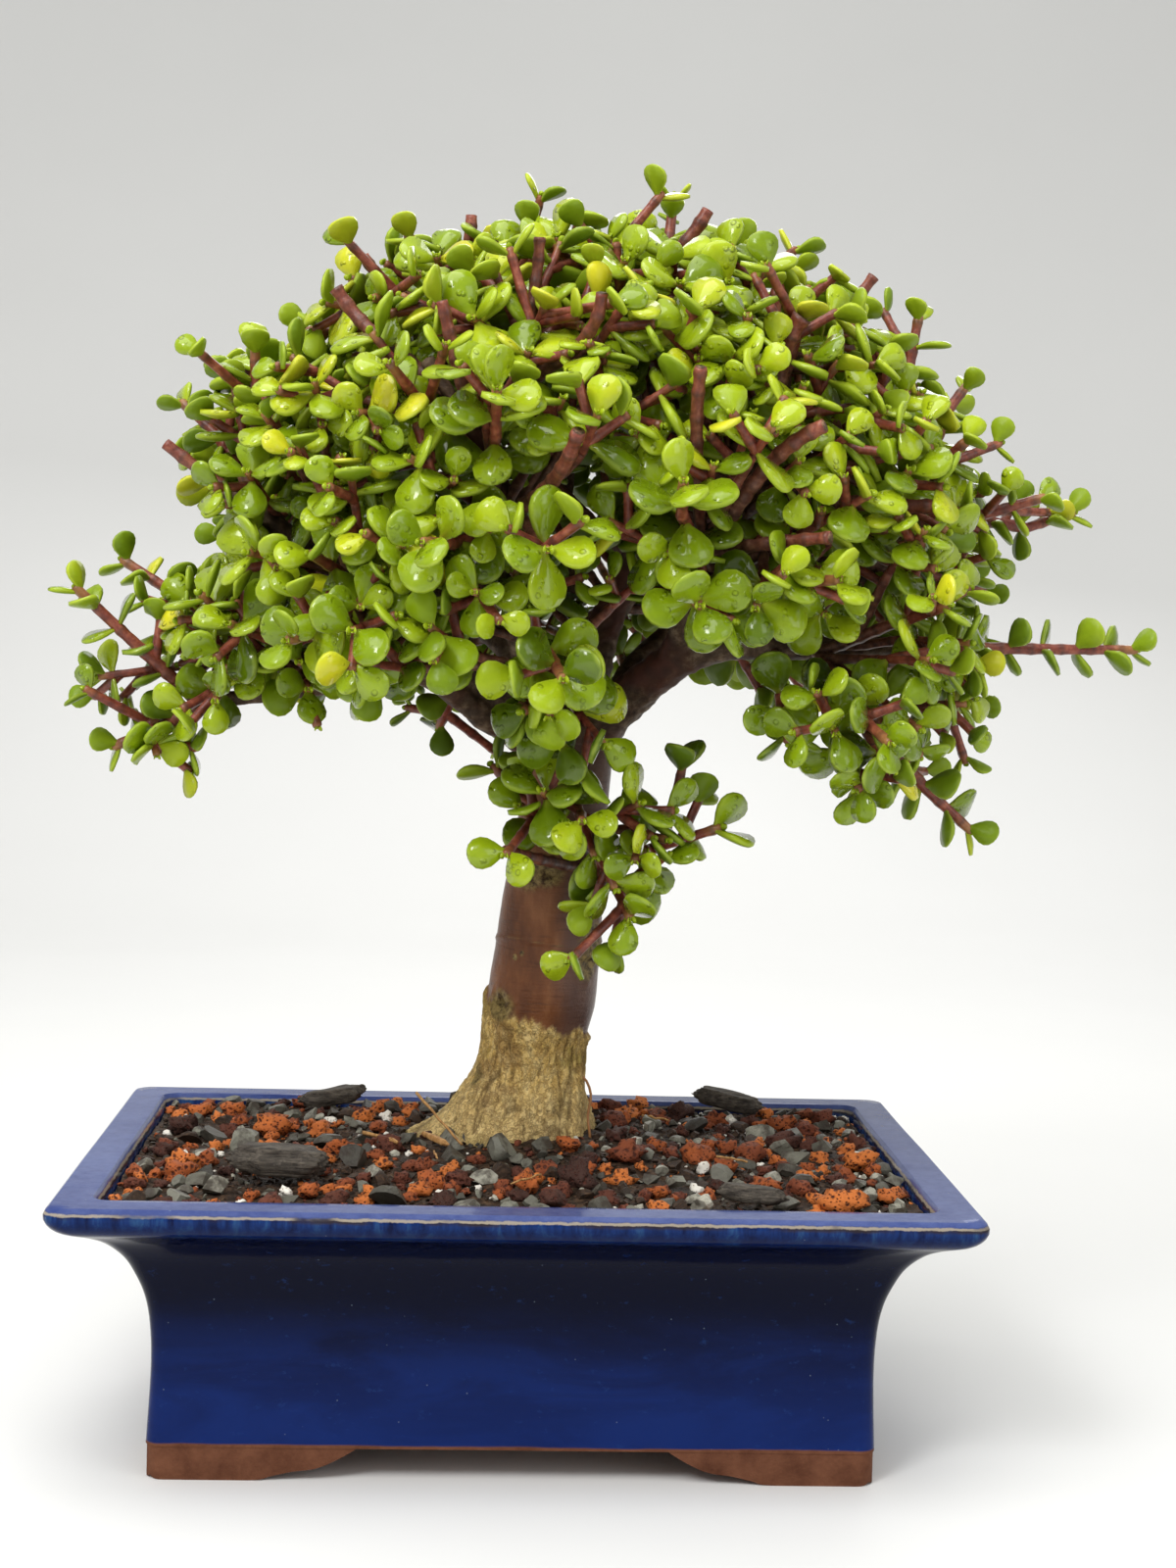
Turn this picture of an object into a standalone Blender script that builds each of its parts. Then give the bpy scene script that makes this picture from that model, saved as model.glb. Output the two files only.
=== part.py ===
"""Dwarf jade bonsai: a small succulent tree in a flared, glazed rectangular pot.

The pot's footprint is centred under x = y = 0 while the parts are made, with z = 0 at the
surface that the feet stand on. At the end everything is slid sideways as one, so that the
origin lies under the middle of the whole outline, tree included.
Lists of places and sizes are in millimetres, and MM turns them into metres.
"""

import math
import random

import bmesh
import bpy
from mathutils import Matrix, Vector
from mathutils.bvhtree import BVHTree

MM = 0.001
FIT_GAP = 0.0003

# The pot: rim, flared body and bracket feet of one fired piece.
POT_WIDTH = 0.250
POT_DEPTH = 0.172
POT_HEIGHT = 0.080
FOOT_HEIGHT = 0.0092
LIP_WIDTH = 0.0128
FLOOR = 0.0065
# The outside and the inside in section, in millimetres: drop below the rim's top, and
# inset from its face.
OUTSIDE = (
    (0.0, 1.6), (1.8, 0.1), (4.5, 0.4), (7.4, 3.0), (9.9, 8.9), (12.8, 13.8),
    (17.7, 18.4), (23.5, 21.4), (30.0, 23.7), (38.0, 25.0), (50.0, 25.4), (70.8, 24.6),
)
INSIDE = (
    (0.0, 11.4), (1.6, 12.8), (6.0, 13.6), (12.5, 20.2), (19.5, 26.2), (30.0, 30.6), (64.3, 32.0),
)
BASE_INSET = 0.0246
RIM_CORNER = 0.0055
BODY_CORNER = 0.0045
CORNER_STEPS = 2
# A bracket foot's arms: how far they run inwards along X and along Y, and their thickness.
FOOT_RUN_X = 0.057
FOOT_RUN_Y = 0.038
FOOT_THICK = 0.015
DRAIN_RADIUS = 0.009
DRAIN_X = 0.045

# A drain screen: a square of plastic mesh over each drain hole.
SCREEN_SIDE = 0.030
SCREEN_THICK = 0.0012
SCREEN_HOLES = 2
SCREEN_BAR = 0.0040

# The soil: level with the lip at the walls and mounded towards the trunk.
SOIL_EDGE_Z = POT_HEIGHT - 0.0030
SOIL_MOUND = 0.0060
SOIL_SPREAD = (0.075, 0.055)
SOIL_CELLS = (13, 10)
GRAIN_RELIEF = 0.0016

# The trunk, from its buried foot to the fork.
TRUNK_X = 0.003
TRUNK_Y = 0.020
TRUNK_SIDES = 12
TRUNK_RINGS = (
    # centre x, centre y, height and radius, in millimetres
    (2, 20, 66, 17.5),
    (2, 20, 76, 18.0),
    (2, 20, 83, 18.6),
    (3, 20, 90, 17.6),
    (4, 20, 99, 16.6),
    (5, 19, 110, 15.8),
    (7, 17, 122, 16.4),
    (8, 16, 134, 16.2),
    (10, 14, 158, 14.8),
    (12, 14, 180, 13.4),
    (13, 15, 196, 13.2),
    (14, 16, 207, 11.5),
)
# Surface roots: direction in degrees, reach beyond the trunk in millimetres, and half width
# in degrees. Below ROOT_BASE_Z they go on for a little and then run straight down.
ROOTS = ((186, 15.0, 24), (236, 5.0, 22), (318, 3.5, 20), (20, 4.5, 24), (95, 7.0, 26))
ROOT_TOP_Z = 0.108
ROOT_BASE_Z = 0.082
ROOT_SUNK = 1.12
ROOT_CURVE = 2.4

# Woody limbs: radius at the trunk and at the end, then the route.
LIMBS = (
    (5.2, 2.1, (
        (12, 14, 194), (-8, 5, 205), (-28, -5, 219), (-45, -10, 222),
        (-61, -12, 216), (-83, -14, 212), (-95, -15, 211),
    )),
    (5.6, 2.6, (
        (12, 12, 198), (-12, 4, 216), (-26, -5, 231), (-48, -15, 245), (-71, -22, 260), (-88, -25, 271),
    )),
    (4.6, 2.3, (
        (12, 8, 198), (2, -4, 217), (-4, -18, 235), (-7, -32, 256),
        (-9, -40, 270), (-20, -50, 290), (-31, -50, 306),
    )),
    (8.8, 2.4, (
        (14, 16, 196), (30, 10, 214), (44, 0, 226), (60, -5, 231),
        (79, -8, 231), (99, -10, 232), (112, -10, 232),
    )),
    (7.6, 2.8, (
        (14, 18, 198), (20, 24, 226), (30, 25, 251), (35, 22, 274), (35, 18, 298), (37, 15, 320),
    )),
    (4.2, 2.4, ((40, 4, 222), (48, -16, 245), (57, -32, 268), (65, -36, 290), (69, -32, 308))),
    (4.6, 2.4, ((44, 2, 226), (62, 4, 242), (87, 5, 254), (111, 8, 266), (126, 8, 271))),
    (5.0, 2.4, ((12, 20, 198), (-4, 36, 226), (-30, 50, 248), (-55, 54, 268), (-70, 52, 284))),
    (5.2, 2.4, ((18, 22, 202), (38, 42, 228), (62, 54, 250), (86, 56, 270), (102, 52, 288))),
    (5.0, 2.4, ((14, 24, 200), (14, 48, 226), (14, 64, 250), (12, 70, 278), (14, 62, 304))),
)
LIMB_SIDES = 6
LIMB_STEP = 0.027

# Leafy shoots that the tree shows from the front: tip, heading there, pairs of leaves, leaf length.
SHOOTS = (
    ("low_left_rise", (-129, -20, 242), (-0.72, -0.1, 0.68), 5, 9.0),
    ("low_left_hang", (-119, -10, 197), (-0.80, 0.1, -0.60), 3, 9.5),
    ("mid_left", (-119, 0, 251), (-0.92, 0.0, 0.40), 4, 9.0),
    ("mid_left_back", (-96, 24, 232), (-0.92, 0.3, -0.1), 3, 9.5),
    ("front_left_low", (-65, -70, 229), (-0.60, -0.80, -0.05), 4, 12.0),
    ("left_crown", (-104, 10, 298), (-0.82, 0.0, 0.55), 4, 9.0),
    ("left_crown_front", (-80, -20, 311), (-0.70, -0.30, 0.65), 3, 10.0),
    ("front_crown_left", (-40, -70, 302), (-0.35, -0.75, 0.55), 3, 11.5),
    ("front_crown", (-12, -90, 294), (-0.05, -0.80, 0.60), 4, 13.0),
    ("front_mid_left", (-30, -88, 255), (-0.25, -0.95, 0.10), 4, 13.0),
    ("front_far_left", (-60, -62, 252), (-0.60, -0.75, 0.15), 3, 11.5),
    ("under_left", (-26, 18, 204), (-0.30, 0.1, -0.95), 2, 10.0),
    ("front_low", (7, -84, 221), (0.0, -0.97, -0.15), 4, 14.0),
    ("front_low_right", (42, -84, 241), (0.15, -0.97, 0.05), 4, 13.5),
    ("front_middle", (36, -94, 272), (0.05, -0.92, 0.35), 4, 13.0),
    ("front_right", (80, -74, 249), (0.45, -0.85, 0.10), 4, 11.5),
    ("low_right_front", (96, -66, 206), (0.45, -0.80, -0.35), 4, 12.0),
    ("low_right_hang", (130, -15, 179), (0.80, 0.0, -0.60), 4, 10.0),
    ("low_right", (136, 10, 216), (0.90, 0.2, -0.35), 3, 9.5),
    ("long_right", (178, -10, 233), (1.0, 0.0, 0.02), 6, 9.5),
    ("right_back", (142, 30, 250), (0.92, 0.35, -0.10), 4, 9.0),
    ("right_fork_high", (164, 15, 274), (0.70, 0.1, 0.70), 4, 9.0),
    ("right_fork_low", (150, -6, 277), (0.92, -0.1, 0.30), 3, 9.0),
    ("right_shoulder", (124, -22, 292), (0.80, -0.30, 0.50), 3, 9.5),
    ("right_crown_low", (130, 15, 311), (0.72, 0.1, 0.68), 3, 9.0),
    ("right_crown", (113, 5, 330), (0.60, 0.0, 0.80), 3, 9.0),
    ("crown_tip", (41, 28, 367), (0.12, 0.0, 1.0), 4, 7.0),
    ("trunk_sprout_right", (55, -28, 179), (0.95, -0.10, 0.30), 3, 12.5),
    ("trunk_sprout_low", (30, -30, 153), (0.45, -0.25, -0.85), 2, 13.0),
    ("trunk_sprout_left", (-2, -32, 184), (-0.55, -0.80, 0.35), 2, 13.0),
)

# Bare, cut-back stems that stand out of the foliage: tip, heading there and radius.
STUBS = (
    ((-104, -25, 283), (-0.80, 0.0, 0.60), 2.1),
    ((-57, -30, 327), (-0.55, -0.10, 0.82), 2.2),
    ((-51, 0, 341), (-0.50, 0.0, 0.86), 2.0),
    ((-20, -10, 352), (0.0, 0.0, 1.0), 2.1),
    ((-27, -62, 320), (-0.25, -0.20, 0.95), 2.0),
    ((-1, -42, 341), (0.0, -0.20, 0.98), 1.9),
    ((6, 10, 357), (0.05, 0.0, 1.0), 1.9),
    ((48, -10, 356), (0.45, -0.05, 0.88), 2.3),
    ((15, -72, 322), (0.0, -0.35, 0.93), 2.0),
    ((41, -78, 303), (0.05, -0.45, 0.89), 2.0),
    ((66, -30, 331), (0.0, -0.15, 0.98), 2.0),
    ((71, -48, 321), (0.55, -0.30, 0.78), 3.0),
    ((74, -77, 289), (0.80, -0.45, 0.35), 2.4),
    ((9, -93, 284), (0.20, -0.65, 0.72), 2.2),
    ((112, -46, 271), (0.90, -0.35, 0.05), 2.4),
    ((77, -74, 260), (0.80, -0.55, 0.05), 2.0),
    ((-6, -38, 172), (-0.50, -0.80, 0.20), 1.9),
    ((100, 10, 342), (0.55, 0.0, 0.83), 2.0),
)

# The crown's outline that the filling shoots reach: a squarish dome over a shallow underside.
CROWN_CENTRE = (16, 8, 230)
CROWN_REACH = (116, 86, 118)
CROWN_UNDERSIDE = 26
CROWN_SQUARENESS = 2.4
FILL_CANDIDATES = 260
FILL_SPACING = 0.0444
FILL_PAIRS = 2
FILL_LEAF = 0.0112
GOLDEN_ANGLE = math.pi * (3 - math.sqrt(5))

# How a shoot grows from its limb: it leaves the wood nearest to a place this far behind its
# tip, and bends into its heading over the last share of its length.
REACH_BACK = 0.045
TIP_NEARNESS = 0.3
BEND_SHARE = 0.36
ROUTE_STEP = 0.002
STATION_STEP = 0.020
PAIR_STEP = 0.0088
BARE_START = 0.0035
TWIG_RADIUS = 0.0023
LONG_TWIG = 0.034
STEM_RADIUS = 0.0019
STEM_TIP_RADIUS = 0.0014
# Side stems: a shoot with so many pairs of leaves has them at these shares of its leafy part.
SIDE_SHARES = {2: (0.25, 0.65), 3: (0.42,)}
SIDE_TRIES = 8
SIDE_REACH = 0.024
SIDE_RADIUS = 0.0015
SIDE_LEAF = 0.9
TWIG_SIDES = 4
STEM_SIDES = 4
LEAF_ROOT = 0.0002
LEAF_THICK = 0.26
LEAF_CLEARANCE = 0.0002
# One leaf seen from above, as shares of its length: distance from the root and half width.
LEAF_OUTLINE = ((0.0, 0.0), (0.42, 0.37), (0.84, 0.37), (1.03, 0.0))
LEAF_TURNS = (0, 24, -24, 48, -48, 75, -75)
# The angle between a leaf and its stem in degrees, from the bud to an old leaf, and its play.
LEAF_ANGLE_YOUNG = 42
LEAF_ANGLE_OPENS = 30
LEAF_ANGLE_PLAY = 7
TURN_TO_LIGHT = 0.35
SEED = 41

# Loose pieces on the soil: centre x, centre y, length, width, thickness, turn and tilt in degrees.
CHIPS = (
    ("bark_chip_front_left", (-67, -38), (31, 17, 7.5), -6, 3),
    ("bark_chip_back_left", (-58, 58), (22, 9, 5.0), 12, -7),
    ("bark_chip_back_right", (70, 58), (24, 9, 5.5), -20, 8),
    ("bark_chip_front_right", (64, -60), (20, 8, 4.5), -12, 4),
)
SPLINTER = ("wood_splinter", (-24, -4), (15, 2.0, 1.6), -50, 6)
DROP_RAYS = 40


def clear_scene():
    for old in list(bpy.data.objects):
        bpy.data.objects.remove(old)


def finish(name, colour, roughness, metallic=0.0):
    material = bpy.data.materials.new(name)
    material.use_nodes = True
    shader = material.node_tree.nodes["Principled BSDF"]
    shader.inputs["Base Color"].default_value = (*colour, 1.0)
    shader.inputs["Roughness"].default_value = roughness
    shader.inputs["Metallic"].default_value = metallic
    return material


def new_object(name, verts, faces, material=None):
    mesh = bpy.data.meshes.new(name)
    mesh.from_pydata([tuple(v) for v in verts], [], faces)
    mesh.validate()
    made = bpy.data.objects.new(name, mesh)
    bpy.context.scene.collection.objects.link(made)
    if material:
        mesh.materials.append(material)
    return made


def smoothed(obj, degrees=40):
    obj.data.shade_smooth()
    obj.data.set_sharp_from_angle(angle=math.radians(degrees))
    return obj


def with_boolean(obj, others, operation):
    """Applies one Boolean of obj with all the others, which are then removed."""
    group = bpy.data.collections.new(obj.name + "_others")
    for other in others:
        group.objects.link(other)
    bpy.context.scene.collection.children.link(group)
    modifier = obj.modifiers.new("join", "BOOLEAN")
    modifier.operation = operation
    modifier.operand_type = "COLLECTION"
    modifier.collection = group
    graph = bpy.context.evaluated_depsgraph_get()
    joined = bpy.data.meshes.new_from_object(obj.evaluated_get(graph))
    obj.modifiers.clear()
    obj.data = joined
    for other in others:
        bpy.data.objects.remove(other)
    bpy.data.collections.remove(group)
    return obj


def loft(name, loops, material=None):
    """A closed body through loops of equal counts of points, capped at both ends."""
    ring = len(loops[0])
    verts = [p for loop in loops for p in loop]
    faces = [tuple(reversed(range(ring)))]
    for level in range(len(loops) - 1):
        low, high = level * ring, (level + 1) * ring
        for i in range(ring):
            after = (i + 1) % ring
            faces += [(low + i, low + after, high + after), (low + i, high + after, high + i)]
    faces.append(tuple(range(len(verts) - ring, len(verts))))
    return new_object(name, verts, faces, material)


def box(name, low, high, material=None):
    verts = [(x, y, z) for z in (low[2], high[2]) for y in (low[1], high[1]) for x in (low[0], high[0])]
    faces = [(0, 2, 3, 1), (4, 5, 7, 6), (0, 1, 5, 4), (1, 3, 7, 5), (3, 2, 6, 7), (2, 0, 4, 6)]
    return new_object(name, verts, faces, material)


# The pot


def rounded_rectangle(half_x, half_y, corner, z):
    """Points round a rectangle with rounded corners, anticlockwise from above."""
    points = []
    for quarter in range(4):
        sign_x, sign_y = ((1, 1), (-1, 1), (-1, -1), (1, -1))[quarter]
        centre = Vector((sign_x * (half_x - corner), sign_y * (half_y - corner), z))
        for step in range(CORNER_STEPS + 1):
            angle = math.pi / 2 * (quarter + step / CORNER_STEPS)
            points.append(centre + corner * Vector((math.cos(angle), math.sin(angle), 0)))
    return points


def section_loop(inset, drop):
    """The pot's outline this far below the rim's top and this far inside its face, in millimetres."""
    corner = RIM_CORNER + (BODY_CORNER - RIM_CORNER) * min(inset * MM / BASE_INSET, 1.0)
    half_x, half_y = POT_WIDTH / 2 - inset * MM, POT_DEPTH / 2 - inset * MM
    return rounded_rectangle(half_x, half_y, corner, POT_HEIGHT - drop * MM)


def pot_loops():
    """The pot's section from its underside up the outside, over the lip and down the inside."""
    return [section_loop(inset, drop) for drop, inset in tuple(reversed(OUTSIDE)) + INSIDE]


def inner_loops(gap):
    """The pot's inside drawn in by the gap, from the floor to above the lip."""
    loops = [section_loop(inset + gap / MM, drop) for drop, inset in reversed(INSIDE[1:])]
    floor = [p + Vector((0, 0, gap)) for p in loops[0]]
    above = [Vector((p.x, p.y, POT_HEIGHT + 0.02)) for p in loops[-1]]
    return [floor] + loops[1:] + [above]


def foot_outline(run):
    """A bracket foot from the side, from the corner inwards: flat sole, stepped curve and rise to the body."""
    top = FOOT_HEIGHT + 0.002
    return (
        (0.0, top), (0.0, 0.0030), (0.0012, 0.0008), (0.0035, 0.0), (run * 0.54, 0.0),
        (run * 0.64, 0.0022), (run * 0.80, 0.0032), (run * 0.91, 0.0058), (run, 0.0088), (run, top),
    )


def foot_wing(corner_x, corner_y, along_x, run, thick):
    """One arm of a bracket foot, running inwards from its corner along X or Y."""
    into_x, into_y = -math.copysign(1, corner_x), -math.copysign(1, corner_y)
    near, far = [], []
    for reach, z in foot_outline(run):
        if along_x:
            near.append((corner_x + into_x * reach, corner_y, z))
            far.append((corner_x + into_x * reach, corner_y + into_y * thick, z))
        else:
            near.append((corner_x, corner_y + into_y * reach, z))
            far.append((corner_x + into_x * thick, corner_y + into_y * reach, z))
    count = len(near)
    faces = [tuple(range(count)), tuple(reversed(range(count, 2 * count)))]
    faces += [(i, i + count, (i + 1) % count + count, (i + 1) % count) for i in range(count)]
    wing = new_object("foot_wing", near + far, faces)
    outwards(wing)
    return wing


def outwards(obj):
    shape = bmesh.new()
    shape.from_mesh(obj.data)
    bmesh.ops.recalc_face_normals(shape, faces=shape.faces)
    shape.to_mesh(obj.data)
    shape.free()


def drum(name, radius, low, high, x, y, sides=12):
    shape = bmesh.new()
    size = {"radius1": radius, "radius2": radius, "depth": high - low}
    bmesh.ops.create_cone(shape, cap_ends=True, segments=sides, **size)
    bmesh.ops.translate(shape, verts=shape.verts, vec=(x, y, (low + high) / 2))
    mesh = bpy.data.meshes.new(name)
    shape.to_mesh(mesh)
    shape.free()
    made = bpy.data.objects.new(name, mesh)
    bpy.context.scene.collection.objects.link(made)
    return made


def build_feet():
    """Four bracket feet, with their outer corners rounded like the body's."""
    half_x = POT_WIDTH / 2 - BASE_INSET - 0.0003
    half_y = POT_DEPTH / 2 - BASE_INSET - 0.0003
    out = 0.002
    wings = []
    for corner_x in (-half_x - out, half_x + out):
        for corner_y in (-half_y - out, half_y + out):
            wings.append(foot_wing(corner_x, corner_y, True, FOOT_RUN_X, FOOT_THICK))
            wings.append(foot_wing(corner_x, corner_y, False, FOOT_RUN_Y, FOOT_THICK + 0.0001))
    feet = with_boolean(wings[0], wings[1:], "UNION")
    levels = (-0.001, FOOT_HEIGHT + 0.004)
    outline = loft("outline", [rounded_rectangle(half_x, half_y, BODY_CORNER, z) for z in levels])
    return with_boolean(feet, [outline], "INTERSECT")


def build_pot():
    glaze = finish("blue_glaze", (0.012, 0.028, 0.19), 0.12)
    pot = loft("pot", pot_loops(), glaze)
    with_boolean(pot, [build_feet()], "UNION")
    holes = [
        drum("drain", DRAIN_RADIUS, FOOT_HEIGHT - 0.004, FOOT_HEIGHT + FLOOR + 0.004, x, 0.0)
        for x in (-DRAIN_X, DRAIN_X)
    ]
    with_boolean(pot, holes, "DIFFERENCE")
    return smoothed(pot, 50)


def build_screen(name, x):
    """A square of plastic mesh with open cells between its bars."""
    plastic = bpy.data.materials.get("screen_plastic") or finish("screen_plastic", (0.02, 0.02, 0.022), 0.6)
    low = FOOT_HEIGHT + FLOOR + FIT_GAP
    half = SCREEN_SIDE / 2
    screen = box(name, (x - half, -half, low), (x + half, half, low + SCREEN_THICK), plastic)
    cell = (SCREEN_SIDE - SCREEN_BAR * (SCREEN_HOLES + 1)) / SCREEN_HOLES
    starts = [-half + SCREEN_BAR + k * (cell + SCREEN_BAR) for k in range(SCREEN_HOLES)]
    cells = [
        box("cell", (x + i, j, low - 0.001), (x + i + cell, j + cell, low + SCREEN_THICK + 0.001))
        for i in starts
        for j in starts
    ]
    return with_boolean(screen, cells, "DIFFERENCE")


# The trunk and its limbs


def root_flare(angle, z):
    """How far the surface roots push the trunk out, in this direction at this height."""
    rise = min(max((ROOT_TOP_Z - z) / (ROOT_TOP_Z - ROOT_BASE_Z), 0.0), ROOT_SUNK)
    reach = 0.0
    for direction, length, half_width in ROOTS:
        turn = (math.degrees(angle) - direction + 180) % 360 - 180
        reach += length * MM * math.exp(-((turn / half_width) ** 2))
    return reach * rise**ROOT_CURVE


def trunk_loft(name, grow=0.0):
    """The trunk with its surface roots. grow offsets the surface, for the hole that it stands in."""
    loops = []
    for x, y, z, radius in TRUNK_RINGS:
        loop = []
        for side in range(TRUNK_SIDES):
            angle = 2 * math.pi * side / TRUNK_SIDES
            reach = radius * MM + root_flare(angle, z * MM) + grow
            loop.append(Vector((x * MM + reach * math.cos(angle), y * MM + reach * math.sin(angle), z * MM)))
        loops.append(loop)
    loops[0] = [p - Vector((0, 0, grow)) for p in loops[0]]
    return loft(name, loops)


def on_spline(points, share):
    """A point on a smooth curve through the points, at this share of its knots."""
    at = min(max(share, 0.0), 1.0) * (len(points) - 1)
    i = min(int(at), len(points) - 2)
    t = at - i
    b, c = points[i], points[i + 1]
    a = points[i - 1] if i else b * 2 - c
    d = points[i + 2] if i + 2 < len(points) else c * 2 - b
    return 0.5 * (2 * b + (c - a) * t + (2 * a - 5 * b + 4 * c - d) * t**2 + (3 * b - a - 3 * c + d) * t**3)


def even_curve(points, step):
    """Points a near-equal step apart on the smooth curve through these."""
    fine = [on_spline(points, k / 200) for k in range(201)]
    lengths = [0.0]
    for before, after in zip(fine, fine[1:]):
        lengths.append(lengths[-1] + (after - before).length)
    count = max(2, round(lengths[-1] / step))
    made, k = [], 0
    for n in range(count + 1):
        goal = lengths[-1] * n / count
        while k < 199 and lengths[k + 1] < goal:
            k += 1
        span = lengths[k + 1] - lengths[k]
        made.append(fine[k].lerp(fine[k + 1], (goal - lengths[k]) / span if span else 0.0))
    return made


def tangents(points):
    made = []
    for i in range(len(points)):
        before, after = points[max(i - 1, 0)], points[min(i + 1, len(points) - 1)]
        made.append((after - before).normalized())
    return made


def any_normal(direction):
    side = Vector((0, 0, 1)) if abs(direction.z) < 0.85 else Vector((1, 0, 0))
    return direction.cross(side).normalized()


def tube_shape(stations, sides):
    """Vertices and faces of a closed tube through stations of (point, direction, radius)."""
    verts, faces = [], []
    normal = any_normal(stations[0][1])
    for point, direction, radius in stations:
        normal = (normal - direction * normal.dot(direction)).normalized()
        across = direction.cross(normal)
        for side in range(sides):
            angle = 2 * math.pi * side / sides
            verts.append(point + radius * (math.cos(angle) * normal + math.sin(angle) * across))
    for level in range(len(stations) - 1):
        low, high = level * sides, (level + 1) * sides
        for side in range(sides):
            after = (side + 1) % sides
            faces.append((low + side, low + after, high + after, high + side))
    faces.append(tuple(reversed(range(sides))))
    faces.append(tuple(range(len(verts) - sides, len(verts))))
    return verts, faces


def limb_stations(limb, step):
    start, end, points = limb
    route = even_curve([Vector(p) * MM for p in points], step)
    heading = tangents(route)
    stations = []
    for i, point in enumerate(route):
        share = i / (len(route) - 1)
        stations.append((point, heading[i], (start + (end - start) * share**0.8) * MM))
    return stations


# How the shoots grow


def crown_point(direction):
    reach = Vector(CROWN_REACH) * MM
    if direction.z < 0:
        reach.z = CROWN_UNDERSIDE * MM
    square = sum(abs(d) ** CROWN_SQUARENESS for d in direction) ** (1 / CROWN_SQUARENESS)
    return Vector(CROWN_CENTRE) * MM + Vector(d * r / square for d, r in zip(direction, reach))


def crown_heading(point):
    """The way the crown's surface faces at this point."""
    away = point - Vector(CROWN_CENTRE) * MM
    reach = Vector(CROWN_REACH) * MM
    faced = Vector(a / r**2 for a, r in zip(away, reach))
    return (faced.normalized() + Vector((0, 0, 0.15))).normalized()


def filling_shoots():
    """Shoots on a golden-angle spiral over the crown, wherever no tip is near yet."""
    tips = [Vector(shoot[1]) * MM for shoot in SHOOTS]
    made = []
    for n in range(FILL_CANDIDATES):
        height = 0.97 - 1.22 * (n + 0.5) / FILL_CANDIDATES
        around = n * GOLDEN_ANGLE
        flat = math.sqrt(1 - height**2)
        direction = Vector((flat * math.cos(around), flat * math.sin(around), height))
        tip = crown_point(direction)
        if min((tip - other).length for other in tips) < FILL_SPACING:
            continue
        tips.append(tip)
        name = "crown_fill_%02d" % (len(made) + 1)
        made.append((name, tip, crown_heading(tip), FILL_PAIRS, FILL_LEAF))
    return made


def all_shoots():
    named = [
        (name, Vector(tip) * MM, Vector(heading).normalized(), pairs, leaf * MM)
        for name, tip, heading, pairs, leaf in SHOOTS
    ]
    return named + filling_shoots()


def wood_samples():
    """Places along the trunk and the limbs that a shoot can grow from, with the wood's radius there."""
    samples = [(Vector((x, y, z)) * MM, radius * MM) for x, y, z, radius in TRUNK_RINGS[8:11]]
    for limb in LIMBS:
        stations = limb_stations(limb, LIMB_STEP)
        for (a, _, radius_a), (b, _, radius_b) in zip(stations[1:], stations[2:]):
            for k in range(6):
                samples.append((a.lerp(b, k / 5), radius_a + (radius_b - radius_a) * k / 5))
    return samples


def grown_route(tip, heading, samples):
    """A curve from the best place on the wood to the tip, and the wood's radius where it starts."""
    wanted = tip - heading * REACH_BACK
    start, radius = min(
        samples, key=lambda s: (s[0] - wanted).length + TIP_NEARNESS * (s[0] - tip).length
    )
    span = (tip - start).length
    bend_a = start + (tip - start) * BEND_SHARE
    bend_b = tip - heading * span * BEND_SHARE
    curve = []
    for k in range(11):
        t = k / 10
        u = 1 - t
        curve.append(u**3 * start + 3 * u * u * t * bend_a + 3 * u * t * t * bend_b + t**3 * tip)
    return even_curve(curve, ROUTE_STEP), radius


def bent(route, first, push):
    """The route with everything past its first points pushed sideways, more towards the tip."""
    count = len(route) - 1 - first
    return [
        point if i <= first else point + push * ((i - first) / count) ** 1.2
        for i, point in enumerate(route)
    ]


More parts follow.
